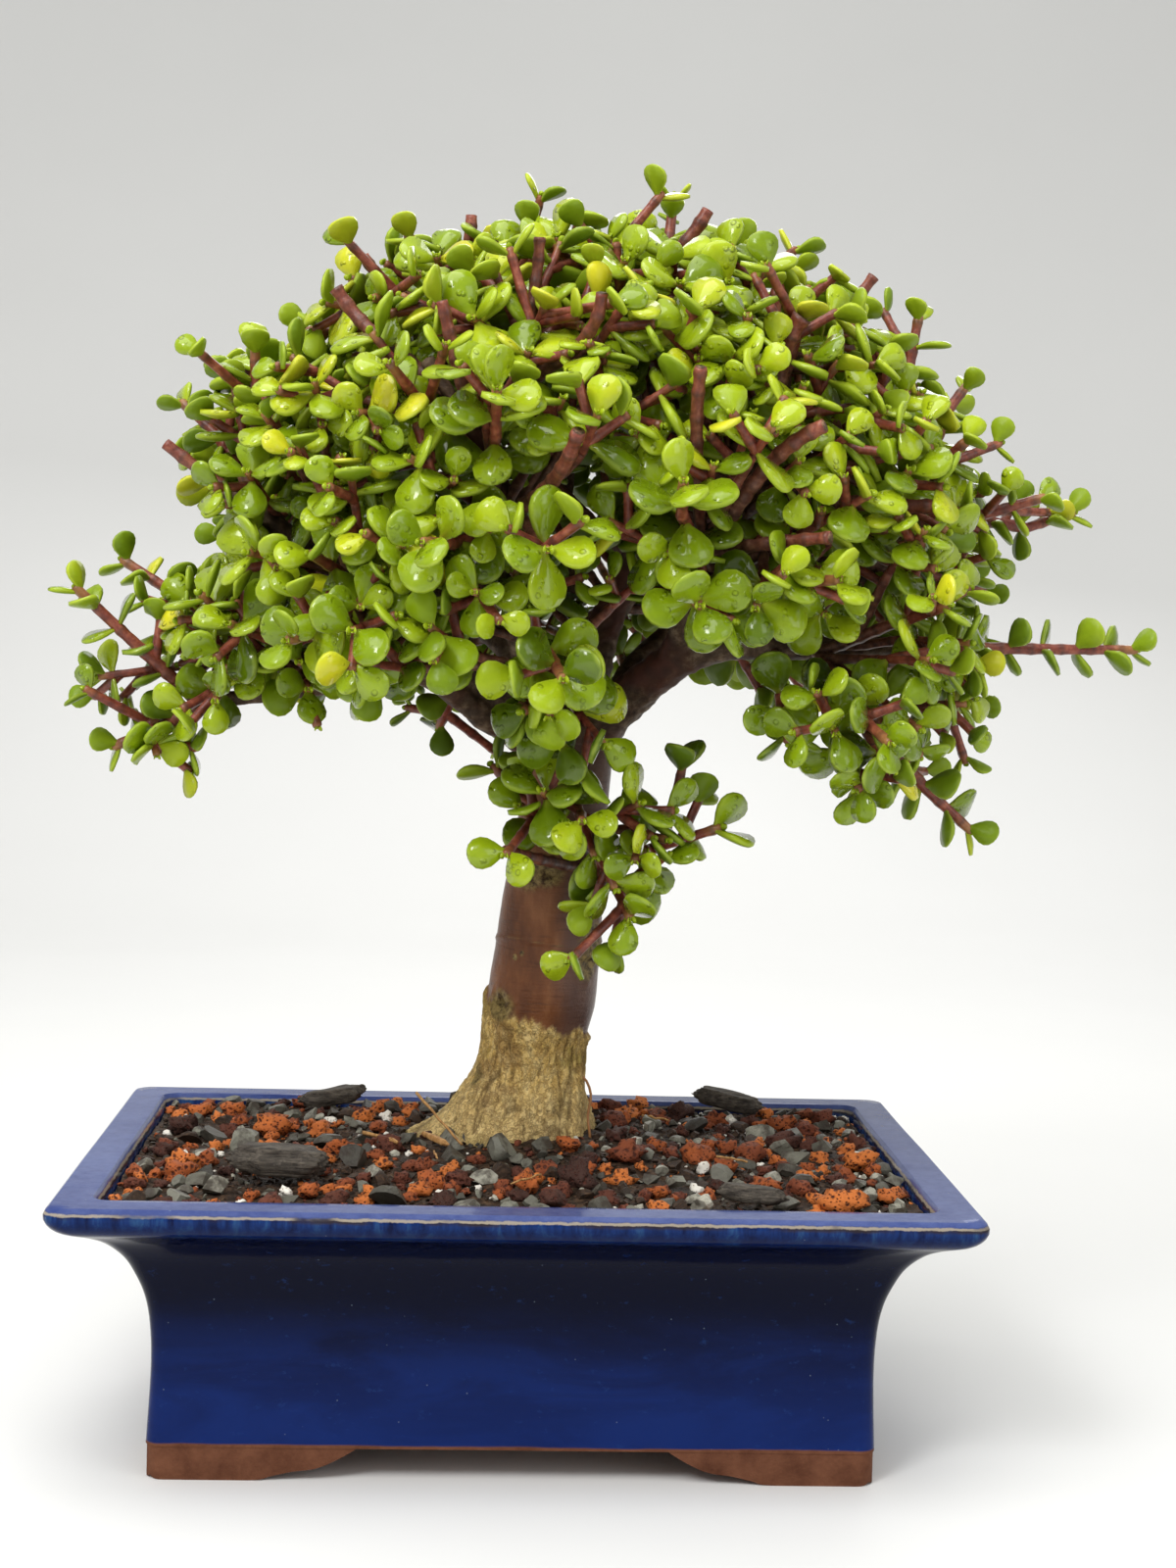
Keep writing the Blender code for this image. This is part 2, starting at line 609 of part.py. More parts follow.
class Stem:
    """A leafy stem: its route, the place on it where leaves begin, and its radius there."""

    def __init__(self, route, first, pairs, leaf, radius):
        self.first, self.pairs, self.leaf, self.radius = first, pairs, leaf, radius
        self.follow(route)

    def picks(self):
        last = len(self.route) - 1
        count = max(1, round((last - self.first) * ROUTE_STEP / STATION_STEP))
        return [round(self.first + (last - self.first) * k / count) for k in range(count + 1)]

    def follow(self, route):
        """Takes this route, with its leafy part straight from one station to the next."""
        self.route = list(route)
        picks = self.picks()
        for low, high in zip(picks, picks[1:]):
            for i in range(low, high):
                self.route[i] = route[low].lerp(route[high], (i - low) / (high - low))

    def stations(self, grow=0.0, gap=0.0):
        heading = tangents(self.route)
        last = len(self.route) - 1
        made = []
        for i in self.picks():
            share = (i - self.first) / (last - self.first)
            radius = self.radius + (STEM_TIP_RADIUS - self.radius) * share
            made.append((self.route[i] + heading[i] * (0.0 if made else gap), heading[i], radius + grow))
        return made

    def leaf_places(self, draw):
        """Opposite pairs, each a quarter turn on: root, stem's way, leaf's way, its face and its length."""
        heading = tangents(self.route)
        last = len(self.route) - 1
        length = (last - self.first) * ROUTE_STEP - BARE_START
        normal = any_normal(heading[self.first])
        turn = draw.uniform(0, math.pi)
        places = []
        for pair in range(self.pairs):
            young = (self.pairs - 1 - pair) / max(self.pairs - 1, 1) if self.pairs > 1 else 0.0
            along = BARE_START + length * (1 - (0.02 + 0.98 * young)) ** 0.92
            i = min(self.first + round(along / ROUTE_STEP), last - 1)
            direction = heading[i]
            normal = (normal - direction * normal.dot(direction)).normalized()
            spread = LEAF_ANGLE_YOUNG + LEAF_ANGLE_OPENS * min(1.0, young * 2.2)
            spread = math.radians(spread + draw.uniform(-LEAF_ANGLE_PLAY, LEAF_ANGLE_PLAY))
            size = self.leaf * (0.80 + 0.20 * min(1.0, young * 2.6)) * draw.uniform(0.9, 1.08)
            for side in (0, math.pi):
                around = turn + pair * math.pi / 2 + side + math.radians(draw.uniform(-10, 10))
                out = math.cos(around) * normal + math.sin(around) * direction.cross(normal)
                axis = math.cos(spread) * direction + math.sin(spread) * out
                face = math.sin(spread) * direction - math.cos(spread) * out
                across = face.cross(axis)
                to_light = math.atan2(across.z, face.z)
                twist = TURN_TO_LIGHT * max(-1.2, min(1.2, to_light)) + draw.uniform(-0.35, 0.35)
                face = math.cos(twist) * face + math.sin(twist) * across
                places.append((self.route[i], direction, axis, face, size))
        return places


class Shoot:
    """A leafy main stem with its side stems, and the woody twig that carries it."""

    def __init__(self, name, tip, heading, pairs, leaf, samples):
        self.name = name
        route, wood = grown_route(tip, heading, samples)
        room = ROUTE_STEP * (len(route) - 1) - wood - 0.005
        leafy = min(BARE_START + PAIR_STEP * leaf / 0.0095 * (pairs - 0.6), room)
        first = max(len(route) - 1 - round(leafy / ROUTE_STEP), math.ceil((wood + 0.003) / ROUTE_STEP))
        self.main = Stem(route, first, pairs, leaf, STEM_RADIUS)
        self.sides = []

    def twig(self):
        """Stations of the woody part, from inside the limb to the flat end that carries the leafy stem."""
        route, first = self.main.route, self.main.first
        heading = tangents(route)
        picks = sorted({0, first // 2, first}) if first * ROUTE_STEP > LONG_TWIG else [0, first]
        return [(route[i], heading[i], TWIG_RADIUS + (STEM_RADIUS - TWIG_RADIUS) * i / first) for i in picks]

    def forks(self):
        """Places on the twig that later shoots can fork from."""
        route, first = self.main.route, self.main.first
        return [(route[i], TWIG_RADIUS) for i in range(first // 4, first - 3, 2)]

    def side_stem(self, share, around, leaf):
        """A short side stem that leaves the main one at this share of its leafy length."""
        route, first = self.main.route, self.main.first
        i = round(first + (len(route) - 1 - first) * share)
        direction = tangents(route)[i]
        normal = any_normal(direction)
        out = math.cos(around) * normal + math.sin(around) * direction.cross(normal)
        tip = route[i] + (direction * 0.62 + out * 0.9 + Vector((0, 0, 0.15))).normalized() * SIDE_REACH
        curve = even_curve([route[i], (route[i] + tip) / 2 + out * 0.001, tip], ROUTE_STEP)
        return Stem(curve, 0, 1, leaf, SIDE_RADIUS)


def leaf_shape(place, turned, grow=0.0):
    """Vertices and faces of one fleshy leaf: a flat-sided lens on a spoon-shaped outline."""
    point, direction, axis, face, size = place
    turn = Matrix.Rotation(math.radians(turned), 3, direction)
    axis, face = turn @ axis, turn @ face
    across = face.cross(axis)
    root = point + axis * LEAF_ROOT
    length = size + STEM_RADIUS
    rim = [root - axis * grow]
    rim += [root + axis * u * length + across * (w * length + grow) for u, w in LEAF_OUTLINE[1:]]
    rim += [root + axis * u * length - across * (w * length + grow) for u, w in reversed(LEAF_OUTLINE[1:-1])]
    middle = root + axis * 0.62 * length
    top = middle + face * (LEAF_THICK * 0.42 * size + grow)
    under = middle - face * (LEAF_THICK * 0.62 * size + grow)
    count = len(rim)
    faces = [(i, count, (i + 1) % count) for i in range(count)]
    faces += [(i, (i + 1) % count, count + 1) for i in range(count)]
    return rim + [top, under], faces


class Grown:
    """What has grown so far, kept in cells, to ask whether a new shape would run into it."""

    CELL = 0.02

    def __init__(self):
        self.cells = {}

    def around(self, verts):
        low = [math.floor(min(v[k] for v in verts) / self.CELL) for k in range(3)]
        high = [math.floor(max(v[k] for v in verts) / self.CELL) for k in range(3)]
        return [
            (i, j, k)
            for i in range(low[0], high[0] + 1)
            for j in range(low[1], high[1] + 1)
            for k in range(low[2], high[2] + 1)
        ]

    def add(self, owner, verts, faces):
        entry = (owner, BVHTree.FromPolygons(verts, faces))
        for cell in self.around(verts):
            self.cells.setdefault(cell, []).append(entry)

    def add_tube(self, owner, stations, sides):
        for before, after in zip(stations, stations[1:]):
            self.add(owner, *tube_shape([before, after], sides))

    def meets(self, verts, faces, but=()):
        tree, seen = BVHTree.FromPolygons(verts, faces), set()
        for cell in self.around(verts):
            for entry in self.cells.get(cell, ()):
                if entry[0] in but or id(entry) in seen:
                    continue
                seen.add(id(entry))
                if tree.overlap(entry[1]):
                    return True
        return False

    def has_room(self, stem, but):
        """Whether a leafy stem, with a little clearance, runs into nothing."""
        stations = stem.stations(grow=0.0006)
        return not any(
            self.meets(*tube_shape([before, after], 6), but=but)
            for before, after in zip(stations, stations[1:])
        )


def pushes(route, first):
    """Sideways pushes of the tip to try, smallest first."""
    heading = (route[-1] - route[first]).normalized()
    side = any_normal(heading)
    other = heading.cross(side)
    made = [Vector((0, 0, 0))]
    for size in (0.004, 0.008, 0.012, 0.017):
        for k in range(8):
            angle = k * math.pi / 4
            made.append(size * (math.cos(angle) * side + math.sin(angle) * other))
    return made


def find_way(shoot, grown):
    """Bends the leafy stem clear of the rest, letting its wood reach further where that helps."""
    stem = shoot.main
    straight, start = stem.route, stem.first
    for delay in range(0, 9, 2):
        stem.first = start + delay
        if len(straight) - stem.first < 4:
            break
        for push in pushes(straight, stem.first):
            stem.follow(bent(straight, stem.first, push))
            if grown.has_room(stem, (shoot.name,)):
                return True
    return False


def grow_tree():
    """All woody parts, and the shoots with the leaves that have room."""
    samples = wood_samples()
    limbs = [limb_stations(limb, LIMB_STEP) for limb in LIMBS]
    shoots = []
    for shoot in all_shoots():
        shoots.append(Shoot(*shoot, samples))
        samples += shoots[-1].forks()
    stubs = []
    for tip, heading, radius in STUBS:
        route, _ = grown_route(Vector(tip) * MM, Vector(heading).normalized(), samples)
        heading = tangents(route)
        picks = [0, len(route) // 2, len(route) - 1]
        stubs.append([(route[i], heading[i], radius * MM * (1.12 - 0.12 * i / len(route))) for i in picks])
    grown = Grown()
    for stations in limbs + stubs:
        grown.add_tube("wood", stations, LIMB_SIDES)
    for shoot in shoots:
        grown.add_tube(shoot.name, shoot.twig(), TWIG_SIDES)
    for shoot in shoots:
        find_way(shoot, grown)
        grown.add_tube(shoot.name, shoot.twig(), TWIG_SIDES)
        grown.add_tube(shoot.name, shoot.main.stations(), STEM_SIDES)
    for number, shoot in enumerate(shoots):
        draw = random.Random(SEED + number)
        for share in SIDE_SHARES.get(shoot.main.pairs, ()):
            for _ in range(SIDE_TRIES):
                side = shoot.side_stem(share, draw.uniform(0, 2 * math.pi), shoot.main.leaf * SIDE_LEAF)
                if grown.has_room(side, (shoot.name,)):
                    shoot.sides.append(side)
                    grown.add_tube(shoot.name, side.stations(), STEM_SIDES)
                    break
    leaves = {shoot.name: [] for shoot in shoots}
    for number, shoot in enumerate(shoots):
        draw = random.Random(SEED + 1000 + number)
        for stem in [shoot.main] + shoot.sides:
            for place in stem.leaf_places(draw):
                for turned in LEAF_TURNS:
                    shape = leaf_shape(place, turned, LEAF_CLEARANCE)
                    if not grown.meets(*shape, but=(shoot.name,)):
                        grown.add(shoot.name + "_leaf", *shape)
                        leaves[shoot.name].append((place, turned))
                        break
    return limbs, stubs, shoots, leaves


def build_tree(limbs, stubs, shoots):
    bark = finish("bark", (0.16, 0.085, 0.05), 0.5)
    tree = trunk_loft("trunk_and_limbs")
    tree.data.materials.append(bark)
    wood = [new_object("limb", *tube_shape(stations, LIMB_SIDES)) for stations in limbs]
    wood += [new_object("stub", *tube_shape(stations, TWIG_SIDES)) for stations in stubs]
    wood += [new_object("twig", *tube_shape(shoot.twig(), TWIG_SIDES)) for shoot in shoots]
    with_boolean(tree, wood, "UNION")
    return smoothed(tree, 60)


def build_spray(shoot, leaves):
    green = bpy.data.materials.get("leaf") or finish("leaf", (0.17, 0.36, 0.025), 0.28)
    stem = tube_shape(shoot.main.stations(gap=FIT_GAP), STEM_SIDES)
    spray = new_object("spray_" + shoot.name, *stem, green)
    joined = [new_object("side", *tube_shape(side.stations(), STEM_SIDES)) for side in shoot.sides]
    joined += [new_object("leaf", *leaf_shape(place, turned)) for place, turned in leaves]
    with_boolean(spray, joined, "UNION")
    return spray


# The soil and what lies on it


def soil_height(x, y):
    """The soil's top: level at the walls, mounded at the trunk, and knobbly with grit."""
    away = math.hypot((x - TRUNK_X) / SOIL_SPREAD[0], (y - TRUNK_Y) / SOIL_SPREAD[1])
    mound = SOIL_MOUND * math.exp(-(away**2))
    grit = math.sin(x * 1310 + 2.1 * math.sin(y * 900)) * math.sin(y * 1180 + 1.7 * math.sin(x * 760))
    return SOIL_EDGE_Z + mound + GRAIN_RELIEF * (0.35 + 0.65 * grit)


def build_soil():
    """A block with the gritty top, cut to the pot's inside and to what stands and lies in it."""
    grit = finish("soil_mix", (0.10, 0.055, 0.04), 0.85)
    floor = FOOT_HEIGHT + FLOOR + FIT_GAP
    half_x, half_y = POT_WIDTH / 2 - LIP_WIDTH + 0.002, POT_DEPTH / 2 - LIP_WIDTH + 0.002
    cells_x, cells_y = SOIL_CELLS
    verts, faces = [], []
    for j in range(cells_y + 1):
        for i in range(cells_x + 1):
            x, y = half_x * (2 * i / cells_x - 1), half_y * (2 * j / cells_y - 1)
            verts.append((x, y, soil_height(x, y)))
    row = cells_x + 1
    for j in range(cells_y):
        for i in range(cells_x):
            a = j * row + i
            faces += [(a, a + 1, a + row + 1), (a, a + row + 1, a + row)]
    rim = list(range(row)) + [row * j + cells_x for j in range(1, cells_y + 1)]
    rim += [row * cells_y + i for i in range(cells_x - 1, -1, -1)]
    rim += [row * j for j in range(cells_y - 1, 0, -1)]
    corners = [(-half_x, -half_y), (half_x, -half_y), (half_x, half_y), (-half_x, half_y)]
    base = len(verts)
    verts += [(x, y, floor - 0.002) for x, y in corners]
    at_corner = [0, cells_x, cells_x + cells_y, 2 * cells_x + cells_y, len(rim)]
    for k in range(4):
        side = [rim[i % len(rim)] for i in range(at_corner[k], at_corner[k + 1] + 1)]
        faces.append(tuple(reversed(side)) + (base + k, base + (k + 1) % 4))
    faces.append((base + 3, base + 2, base + 1, base))
    soil = new_object("soil", verts, faces, grit)
    with_boolean(soil, [loft("pot_inside", inner_loops(FIT_GAP))], "INTERSECT")
    hollow = [trunk_loft("trunk_hole", grow=FIT_GAP)]
    for x in (-DRAIN_X, DRAIN_X):
        side = SCREEN_SIDE / 2 + FIT_GAP
        low, high = (x - side, -side, floor - 0.002), (x + side, side, floor + SCREEN_THICK + FIT_GAP)
        hollow.append(box("screen_pocket", low, high))
    with_boolean(soil, hollow, "DIFFERENCE")
    return soil


def build_chip(ground, name, place, size, turn, tilt, colour):
    """A flat, rough-edged piece lying on the grit."""
    length, width, thick = (s * MM for s in size)
    draw = random.Random(name)
    spin = Matrix.Rotation(math.radians(turn), 3, "Z") @ Matrix.Rotation(math.radians(tilt), 3, "Y")
    verts, count = [], 7
    for level, inset in ((-0.5, 0.80), (0.0, 1.0), (0.5, 0.78)):
        for k in range(count):
            angle = 2 * math.pi * k / count
            ragged = inset * draw.uniform(0.84, 1.0)
            corner = Vector((
                length / 2 * ragged * math.copysign(abs(math.cos(angle)) ** 0.7, math.cos(angle)),
                width / 2 * ragged * math.copysign(abs(math.sin(angle)) ** 0.7, math.sin(angle)),
                thick * (level + draw.uniform(-0.06, 0.06)),
            ))
            verts.append(spin @ corner + Vector((place[0] * MM, place[1] * MM, 2 * POT_HEIGHT)))
    faces = [tuple(reversed(range(count))), tuple(range(2 * count, 3 * count))]
    for ring in (0, count):
        for i in range(count):
            after = (i + 1) % count
            faces.append((ring + i, ring + after, ring + count + after, ring + count + i))
    drop = drop_to(ground, verts, faces) - FIT_GAP
    chip = new_object(name, [v - Vector((0, 0, drop)) for v in verts], faces, finish(name, colour, 0.85))
    outwards(chip)
    return chip


def drop_to(ground, verts, faces):
    """How far a piece falls straight down before it touches the ground."""
    piece = BVHTree.FromPolygons(verts, faces)
    up, down = Vector((0, 0, 1)), Vector((0, 0, -1))
    low = [min(v[k] for v in verts) for k in range(2)]
    high = [max(v[k] for v in verts) for k in range(2)]
    nearest = math.inf
    for i in range(DROP_RAYS + 1):
        for j in range(DROP_RAYS + 1):
            x = low[0] + (high[0] - low[0]) * i / DROP_RAYS
            y = low[1] + (high[1] - low[1]) * j / DROP_RAYS
            under = piece.ray_cast(Vector((x, y, 0)), up)[3]
            above = ground.ray_cast(Vector((x, y, 3 * POT_HEIGHT)), down)[3]
            if under is not None and above is not None:
                nearest = min(nearest, under - (3 * POT_HEIGHT - above))
    return nearest


def stand_over_origin():
    """Slides everything as one, so that the origin lies under the middle of the whole outline."""
    parts = [o for o in bpy.context.scene.objects if o.type == "MESH"]
    corners = [o.matrix_world @ v.co for o in parts for v in o.data.vertices]
    middle_x = (min(c.x for c in corners) + max(c.x for c in corners)) / 2
    middle_y = (min(c.y for c in corners) + max(c.y for c in corners)) / 2
    for part in parts:
        part.location = (-middle_x, -middle_y, 0)


clear_scene()
build_pot()
build_screen("drain_screen_left", -DRAIN_X)
build_screen("drain_screen_right", DRAIN_X)
limb_parts, stub_parts, shoot_parts, shoot_leaves = grow_tree()
build_tree(limb_parts, stub_parts, shoot_parts)
for shoot_part in shoot_parts:
    build_spray(shoot_part, shoot_leaves[shoot_part.name])
soil_part = build_soil()
soil_mesh = soil_part.data
soil_top = BVHTree.FromPolygons(
    [v.co for v in soil_mesh.vertices], [p.vertices for p in soil_mesh.polygons]
)
for chip_name, chip_place, chip_size, chip_turn, chip_tilt in CHIPS:
    build_chip(soil_top, chip_name, chip_place, chip_size, chip_turn, chip_tilt, (0.03, 0.027, 0.026))
build_chip(soil_top, *SPLINTER, (0.45, 0.26, 0.11))
stand_over_origin()
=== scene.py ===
"""A dwarf jade bonsai in a blue glazed pot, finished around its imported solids.

Places are worked out in metres from the middle of the pot's footprint, with z = 0 at the surface that the
feet stand on, and settled() slides each finished piece to where the solids stand. Lists of sizes are in
millimetres, and MM turns them into metres.
"""

import math
import random

import bmesh
import bpy
import numpy as np
from mathutils import Matrix, Vector, noise
from mathutils.bvhtree import BVHTree
from mathutils.kdtree import KDTree


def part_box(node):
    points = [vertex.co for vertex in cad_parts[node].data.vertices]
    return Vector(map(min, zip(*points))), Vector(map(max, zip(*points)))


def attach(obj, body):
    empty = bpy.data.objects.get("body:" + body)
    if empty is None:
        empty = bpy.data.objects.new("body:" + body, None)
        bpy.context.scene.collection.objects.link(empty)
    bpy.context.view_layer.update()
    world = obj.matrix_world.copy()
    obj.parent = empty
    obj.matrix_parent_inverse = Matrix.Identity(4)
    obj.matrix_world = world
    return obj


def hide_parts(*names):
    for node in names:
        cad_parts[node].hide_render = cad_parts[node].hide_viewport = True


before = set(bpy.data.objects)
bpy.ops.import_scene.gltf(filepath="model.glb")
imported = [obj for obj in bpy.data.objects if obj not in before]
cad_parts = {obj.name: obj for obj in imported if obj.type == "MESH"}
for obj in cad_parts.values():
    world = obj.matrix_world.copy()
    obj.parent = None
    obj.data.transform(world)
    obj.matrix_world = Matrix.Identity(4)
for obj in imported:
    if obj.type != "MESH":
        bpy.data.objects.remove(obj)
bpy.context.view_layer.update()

# The camera stands in front of the table, a little above the rim, and looks slightly down at the tree.
EYE = Vector((-0.0162, -0.6938, 0.2293))
YAW, PITCH, ROLL = 0.050, 0.058, 0.028
LENS, SENSOR = 54.0, 36.0

pot_low, pot_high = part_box("pot")
MIDDLE = Vector(((pot_low.x + pot_high.x) / 2, (pot_low.y + pot_high.y) / 2, 0.0))

ahead = Vector((math.sin(YAW) * math.cos(PITCH), math.cos(YAW) * math.cos(PITCH), -math.sin(PITCH)))
level = Vector((math.cos(YAW), -math.sin(YAW), 0.0))
upright = level.cross(ahead)
right = level * math.cos(ROLL) + upright * math.sin(ROLL)
up = upright * math.cos(ROLL) - level * math.sin(ROLL)
view = bpy.data.cameras.new("camera")
view.lens, view.sensor_width = LENS, SENSOR
camera = bpy.data.objects.new("camera", view)
camera.matrix_world = Matrix.Translation(MIDDLE + EYE) @ Matrix((right, up, -ahead)).transposed().to_4x4()
bpy.context.scene.collection.objects.link(camera)
bpy.context.scene.camera = camera


# The pot is one piece of stoneware: a flared rectangular body with a broad lip on four bracket feet. It was
# dipped in a cobalt glaze that ran thin over the lip's edge, and its feet were wiped bare before firing. The
# lip's top is painted lighter as a painted reflection, and the lip's underside and the body below it darker
# as painted shade.
MM = 0.001
POT_WIDTH, POT_DEPTH, POT_HEIGHT = 0.250, 0.172, 0.080
FOOT_HEIGHT, FLOOR = 0.0092, 0.0065
OUTSIDE = (
    # drop below the rim's top and inset from its face
    (0.0, 1.6), (1.8, 0.1), (4.5, 0.4), (7.4, 3.0), (9.9, 8.9), (12.8, 13.8),
    (17.7, 18.4), (23.5, 21.4), (30.0, 23.7), (38.0, 25.0), (50.0, 25.4), (70.8, 24.6),
)
INSIDE = ((0.0, 11.4), (1.6, 12.8), (6.0, 13.6), (12.5, 20.2), (19.5, 26.2), (30.0, 30.6), (64.3, 32.0))
BASE_INSET = 0.0246
RIM_CORNER, BODY_CORNER = 0.0055, 0.0045
# the corners in turn, anticlockwise from above
CORNERS = ((1, 1), (-1, 1), (-1, -1), (1, -1))
CORNER_STEPS, LONG_STEPS, SHORT_STEPS, LIP_STEPS = 7, 20, 14, 4
PROFILE_STEP, SOLE_STEP = 0.0014, 0.0012
CLAY_WAVE = 0.00022
FOOT_RUN_X, FOOT_RUN_Y, FOOT_THICK = 0.057, 0.038, 0.015
# the feet stand in from the body, and their arms are drawn past that face and into the body, then trimmed
FOOT_SET_IN, FOOT_SPARE, FOOT_JOIN = 0.0003, 0.002, 0.002
EDGE_WEAR = 0.0007
DRAIN_RADIUS, DRAIN_X, DRILL_SPARE = 0.009, 0.045, 0.006


class Wire:
    """One output of a material's nodes. Sums and products of wires add Math nodes."""

    def __init__(self, socket):
        self.socket = socket

    def node(self, kind, sockets=(), out=0, stops=(), **settings):
        """Adds a node to the same material: its settings first, then the values or wires of its sockets."""
        made = self.socket.id_data.nodes.new("ShaderNode" + kind)
        for name, value in settings.items():
            setattr(made, name, value)
        if stops:
            ramp = made.color_ramp.elements
            ramp.remove(ramp[1])
            ramp[0].position, ramp[0].color = stops[0][0], (*stops[0][1], 1.0)
            for place, colour in stops[1:]:
                ramp.new(place).color = (*colour, 1.0)
        for key, value in dict(sockets).items():
            put(made.inputs[key], value)
        return Wire(made.outputs[out])

    def maths(self, operation, *values):
        return self.node("Math", enumerate(values), operation=operation)

    def __add__(self, other):
        return self.maths("ADD", self, other)

    def __sub__(self, other):
        return self.maths("SUBTRACT", self, other)

    def __rsub__(self, other):
        return self.maths("SUBTRACT", other, self)

    def __mul__(self, other):
        return self.maths("MULTIPLY", self, other)

    __radd__, __rmul__ = __add__, __mul__

    def most(self, other):
        return self.maths("MAXIMUM", self, other)

    def ramp(self, *stops):
        """The colour that these stops give this value."""
        return self.node("ValToRGB", {"Fac": self}, stops=stops)

    def rise(self, low, high):
        """0 up to low, 1 from high, and smooth between; it falls where high is the lower."""
        sockets = {"Value": self, "From Min": low, "From Max": high}
        return self.node("MapRange", sockets, interpolation_type="SMOOTHSTEP")

    def blend(self, without, with_it):
        """The first colour where this value is 0 and the second where it is 1."""
        return self.node("Mix", {0: self, 6: without, 7: with_it}, out=2, data_type="RGBA")

    def stretched(self, x, y, z):
        return self.node("VectorMath", {0: self, 1: (x, y, z)}, operation="MULTIPLY")

    def axis(self, number):
        return self.node("SeparateXYZ", {0: self}, out=number)

    def channel(self, number):
        return self.node("SeparateColor", {0: self}, out=number)

    def noise(self, scale, detail=3.0, roughness=0.55, distortion=0.0):
        sockets = {"Vector": self, "Scale": scale, "Detail": detail}
        sockets.update({"Roughness": roughness, "Distortion": distortion})
        return self.node("TexNoise", sockets)

    def cells(self, scale, feature="F1"):
        """How far each point is from the middle, or from the edge, of its cell."""
        return self.node("TexVoronoi", {"Vector": self, "Scale": scale}, feature=feature)

    def bump(self, strength, depth, over=None):
        """The normal of a surface with this height, in metres times depth, over another bump."""
        sockets = {"Height": self, "Strength": strength, "Distance": depth}
        if over:
            sockets["Normal"] = over
        return self.node("Bump", sockets)


def put(socket, value):
    """Sets a socket, or links it to a wire."""
    if isinstance(value, Wire):
        socket.id_data.links.new(value.socket, socket)
    elif socket.type == "RGBA" and not hasattr(value, "__len__"):
        socket.default_value = (value, value, value, 1.0)
    elif socket.type == "RGBA":
        socket.default_value = (*value, 1.0)
    else:
        socket.default_value = value


def new_finish(name, sockets=()):
    """A material with these constants, and wires on its object and surface coordinates."""
    material = bpy.data.materials.new(name)
    material.use_nodes = True
    shade(material, sockets)
    places = material.node_tree.nodes.new("ShaderNodeTexCoord")
    return material, Wire(places.outputs["Object"]), Wire(places.outputs["UV"])


def shade(material, sockets):
    """Sets or links sockets of a material's own shader."""
    shader = material.node_tree.nodes["Principled BSDF"]
    for name, value in dict(sockets).items():
        put(shader.inputs[name], value)


def settled(piece):
    """Slides a finished mesh from over the pot's middle to where the solids stand."""
    piece.data.transform(Matrix.Translation(MIDDLE))
    return piece


def dress(piece, material):
    """Gives a piece this one finish."""
    piece.data.materials.clear()
    piece.data.materials.append(material)


def held(value, low=0.0, high=1.0):
    """The value, kept between these limits."""
    return min(max(value, low), high)


def on_spline(points, share):
    """A point on a smooth curve through the points, at this share of its knots."""
    at = held(share) * (len(points) - 1)
    i = min(int(at), len(points) - 2)
    t = at - i
    b, c = points[i], points[i + 1]
    a = points[i - 1] if i else b * 2 - c
    d = points[i + 2] if i + 2 < len(points) else c * 2 - b
    return 0.5 * (2 * b + (c - a) * t + (2 * a - 5 * b + 4 * c - d) * t**2 + (3 * b - a - 3 * c + d) * t**3)


def even_curve(points, step):
    """Points a near-equal step apart on the smooth curve through these."""
    fine = [on_spline(points, k / 200) for k in range(201)]
    lengths = [0.0]
    for before, after in zip(fine, fine[1:]):
        lengths.append(lengths[-1] + (after - before).length)
    count = max(2, round(lengths[-1] / step))
    made, k = [], 0
    for n in range(count + 1):
        goal = lengths[-1] * n / count
        while k < 199 and lengths[k + 1] < goal:
            k += 1
        span = lengths[k + 1] - lengths[k]
        made.append(fine[k].lerp(fine[k + 1], (goal - lengths[k]) / span if span else 0.0))
    return made


def start_afresh():
    """Leaves edit mode and deselects everything, so that an operator acts on the new piece alone."""
    if bpy.context.object and bpy.context.object.mode != "OBJECT":
        bpy.ops.object.mode_set(mode="OBJECT")
    bpy.ops.object.select_all(action="DESELECT")


def drawn_up(name, loops):
    """A flat outline that is extruded from loop to loop, into a closed form."""
    start_afresh()
    bpy.ops.mesh.primitive_circle_add(vertices=len(loops[0]), radius=0.01, fill_type="NGON")
    made = bpy.context.object
    made.name = made.data.name = name
    bpy.ops.object.mode_set(mode="EDIT")
    shape = bmesh.from_edit_mesh(made.data)
    order = shape.verts.layers.int.new("order")
    for i, vert in enumerate(shape.verts):
        vert[order], vert.co = i, loops[0][i]
    for loop in loops[1:]:
        bpy.ops.mesh.extrude_region_move()
        shape = bmesh.from_edit_mesh(made.data)
        order = shape.verts.layers.int["order"]
        for vert in shape.verts:
            if vert.select:
                vert.co = loop[vert[order]]
    bpy.ops.mesh.select_all(action="SELECT")
    bpy.ops.mesh.normals_make_consistent(inside=False)
    bpy.ops.object.mode_set(mode="OBJECT")
    made.data.attributes.remove(made.data.attributes["order"])
    return made


def modified(piece, kind, **settings):
    """Adds a modifier with these settings and applies it."""
    start_afresh()
    bpy.context.view_layer.objects.active = piece
    piece.select_set(True)
    modifier = piece.modifiers.new(kind.lower(), kind)
    for name, value in settings.items():
        setattr(modifier, name, value)
    bpy.ops.object.modifier_apply(modifier=modifier.name)
    return piece


def combined(piece, other, operation):
    """Joins or cuts a piece with another one, which is used up."""
    modified(piece, "BOOLEAN", object=other, operation=operation, solver="EXACT")
    bpy.data.objects.remove(other)
    return piece


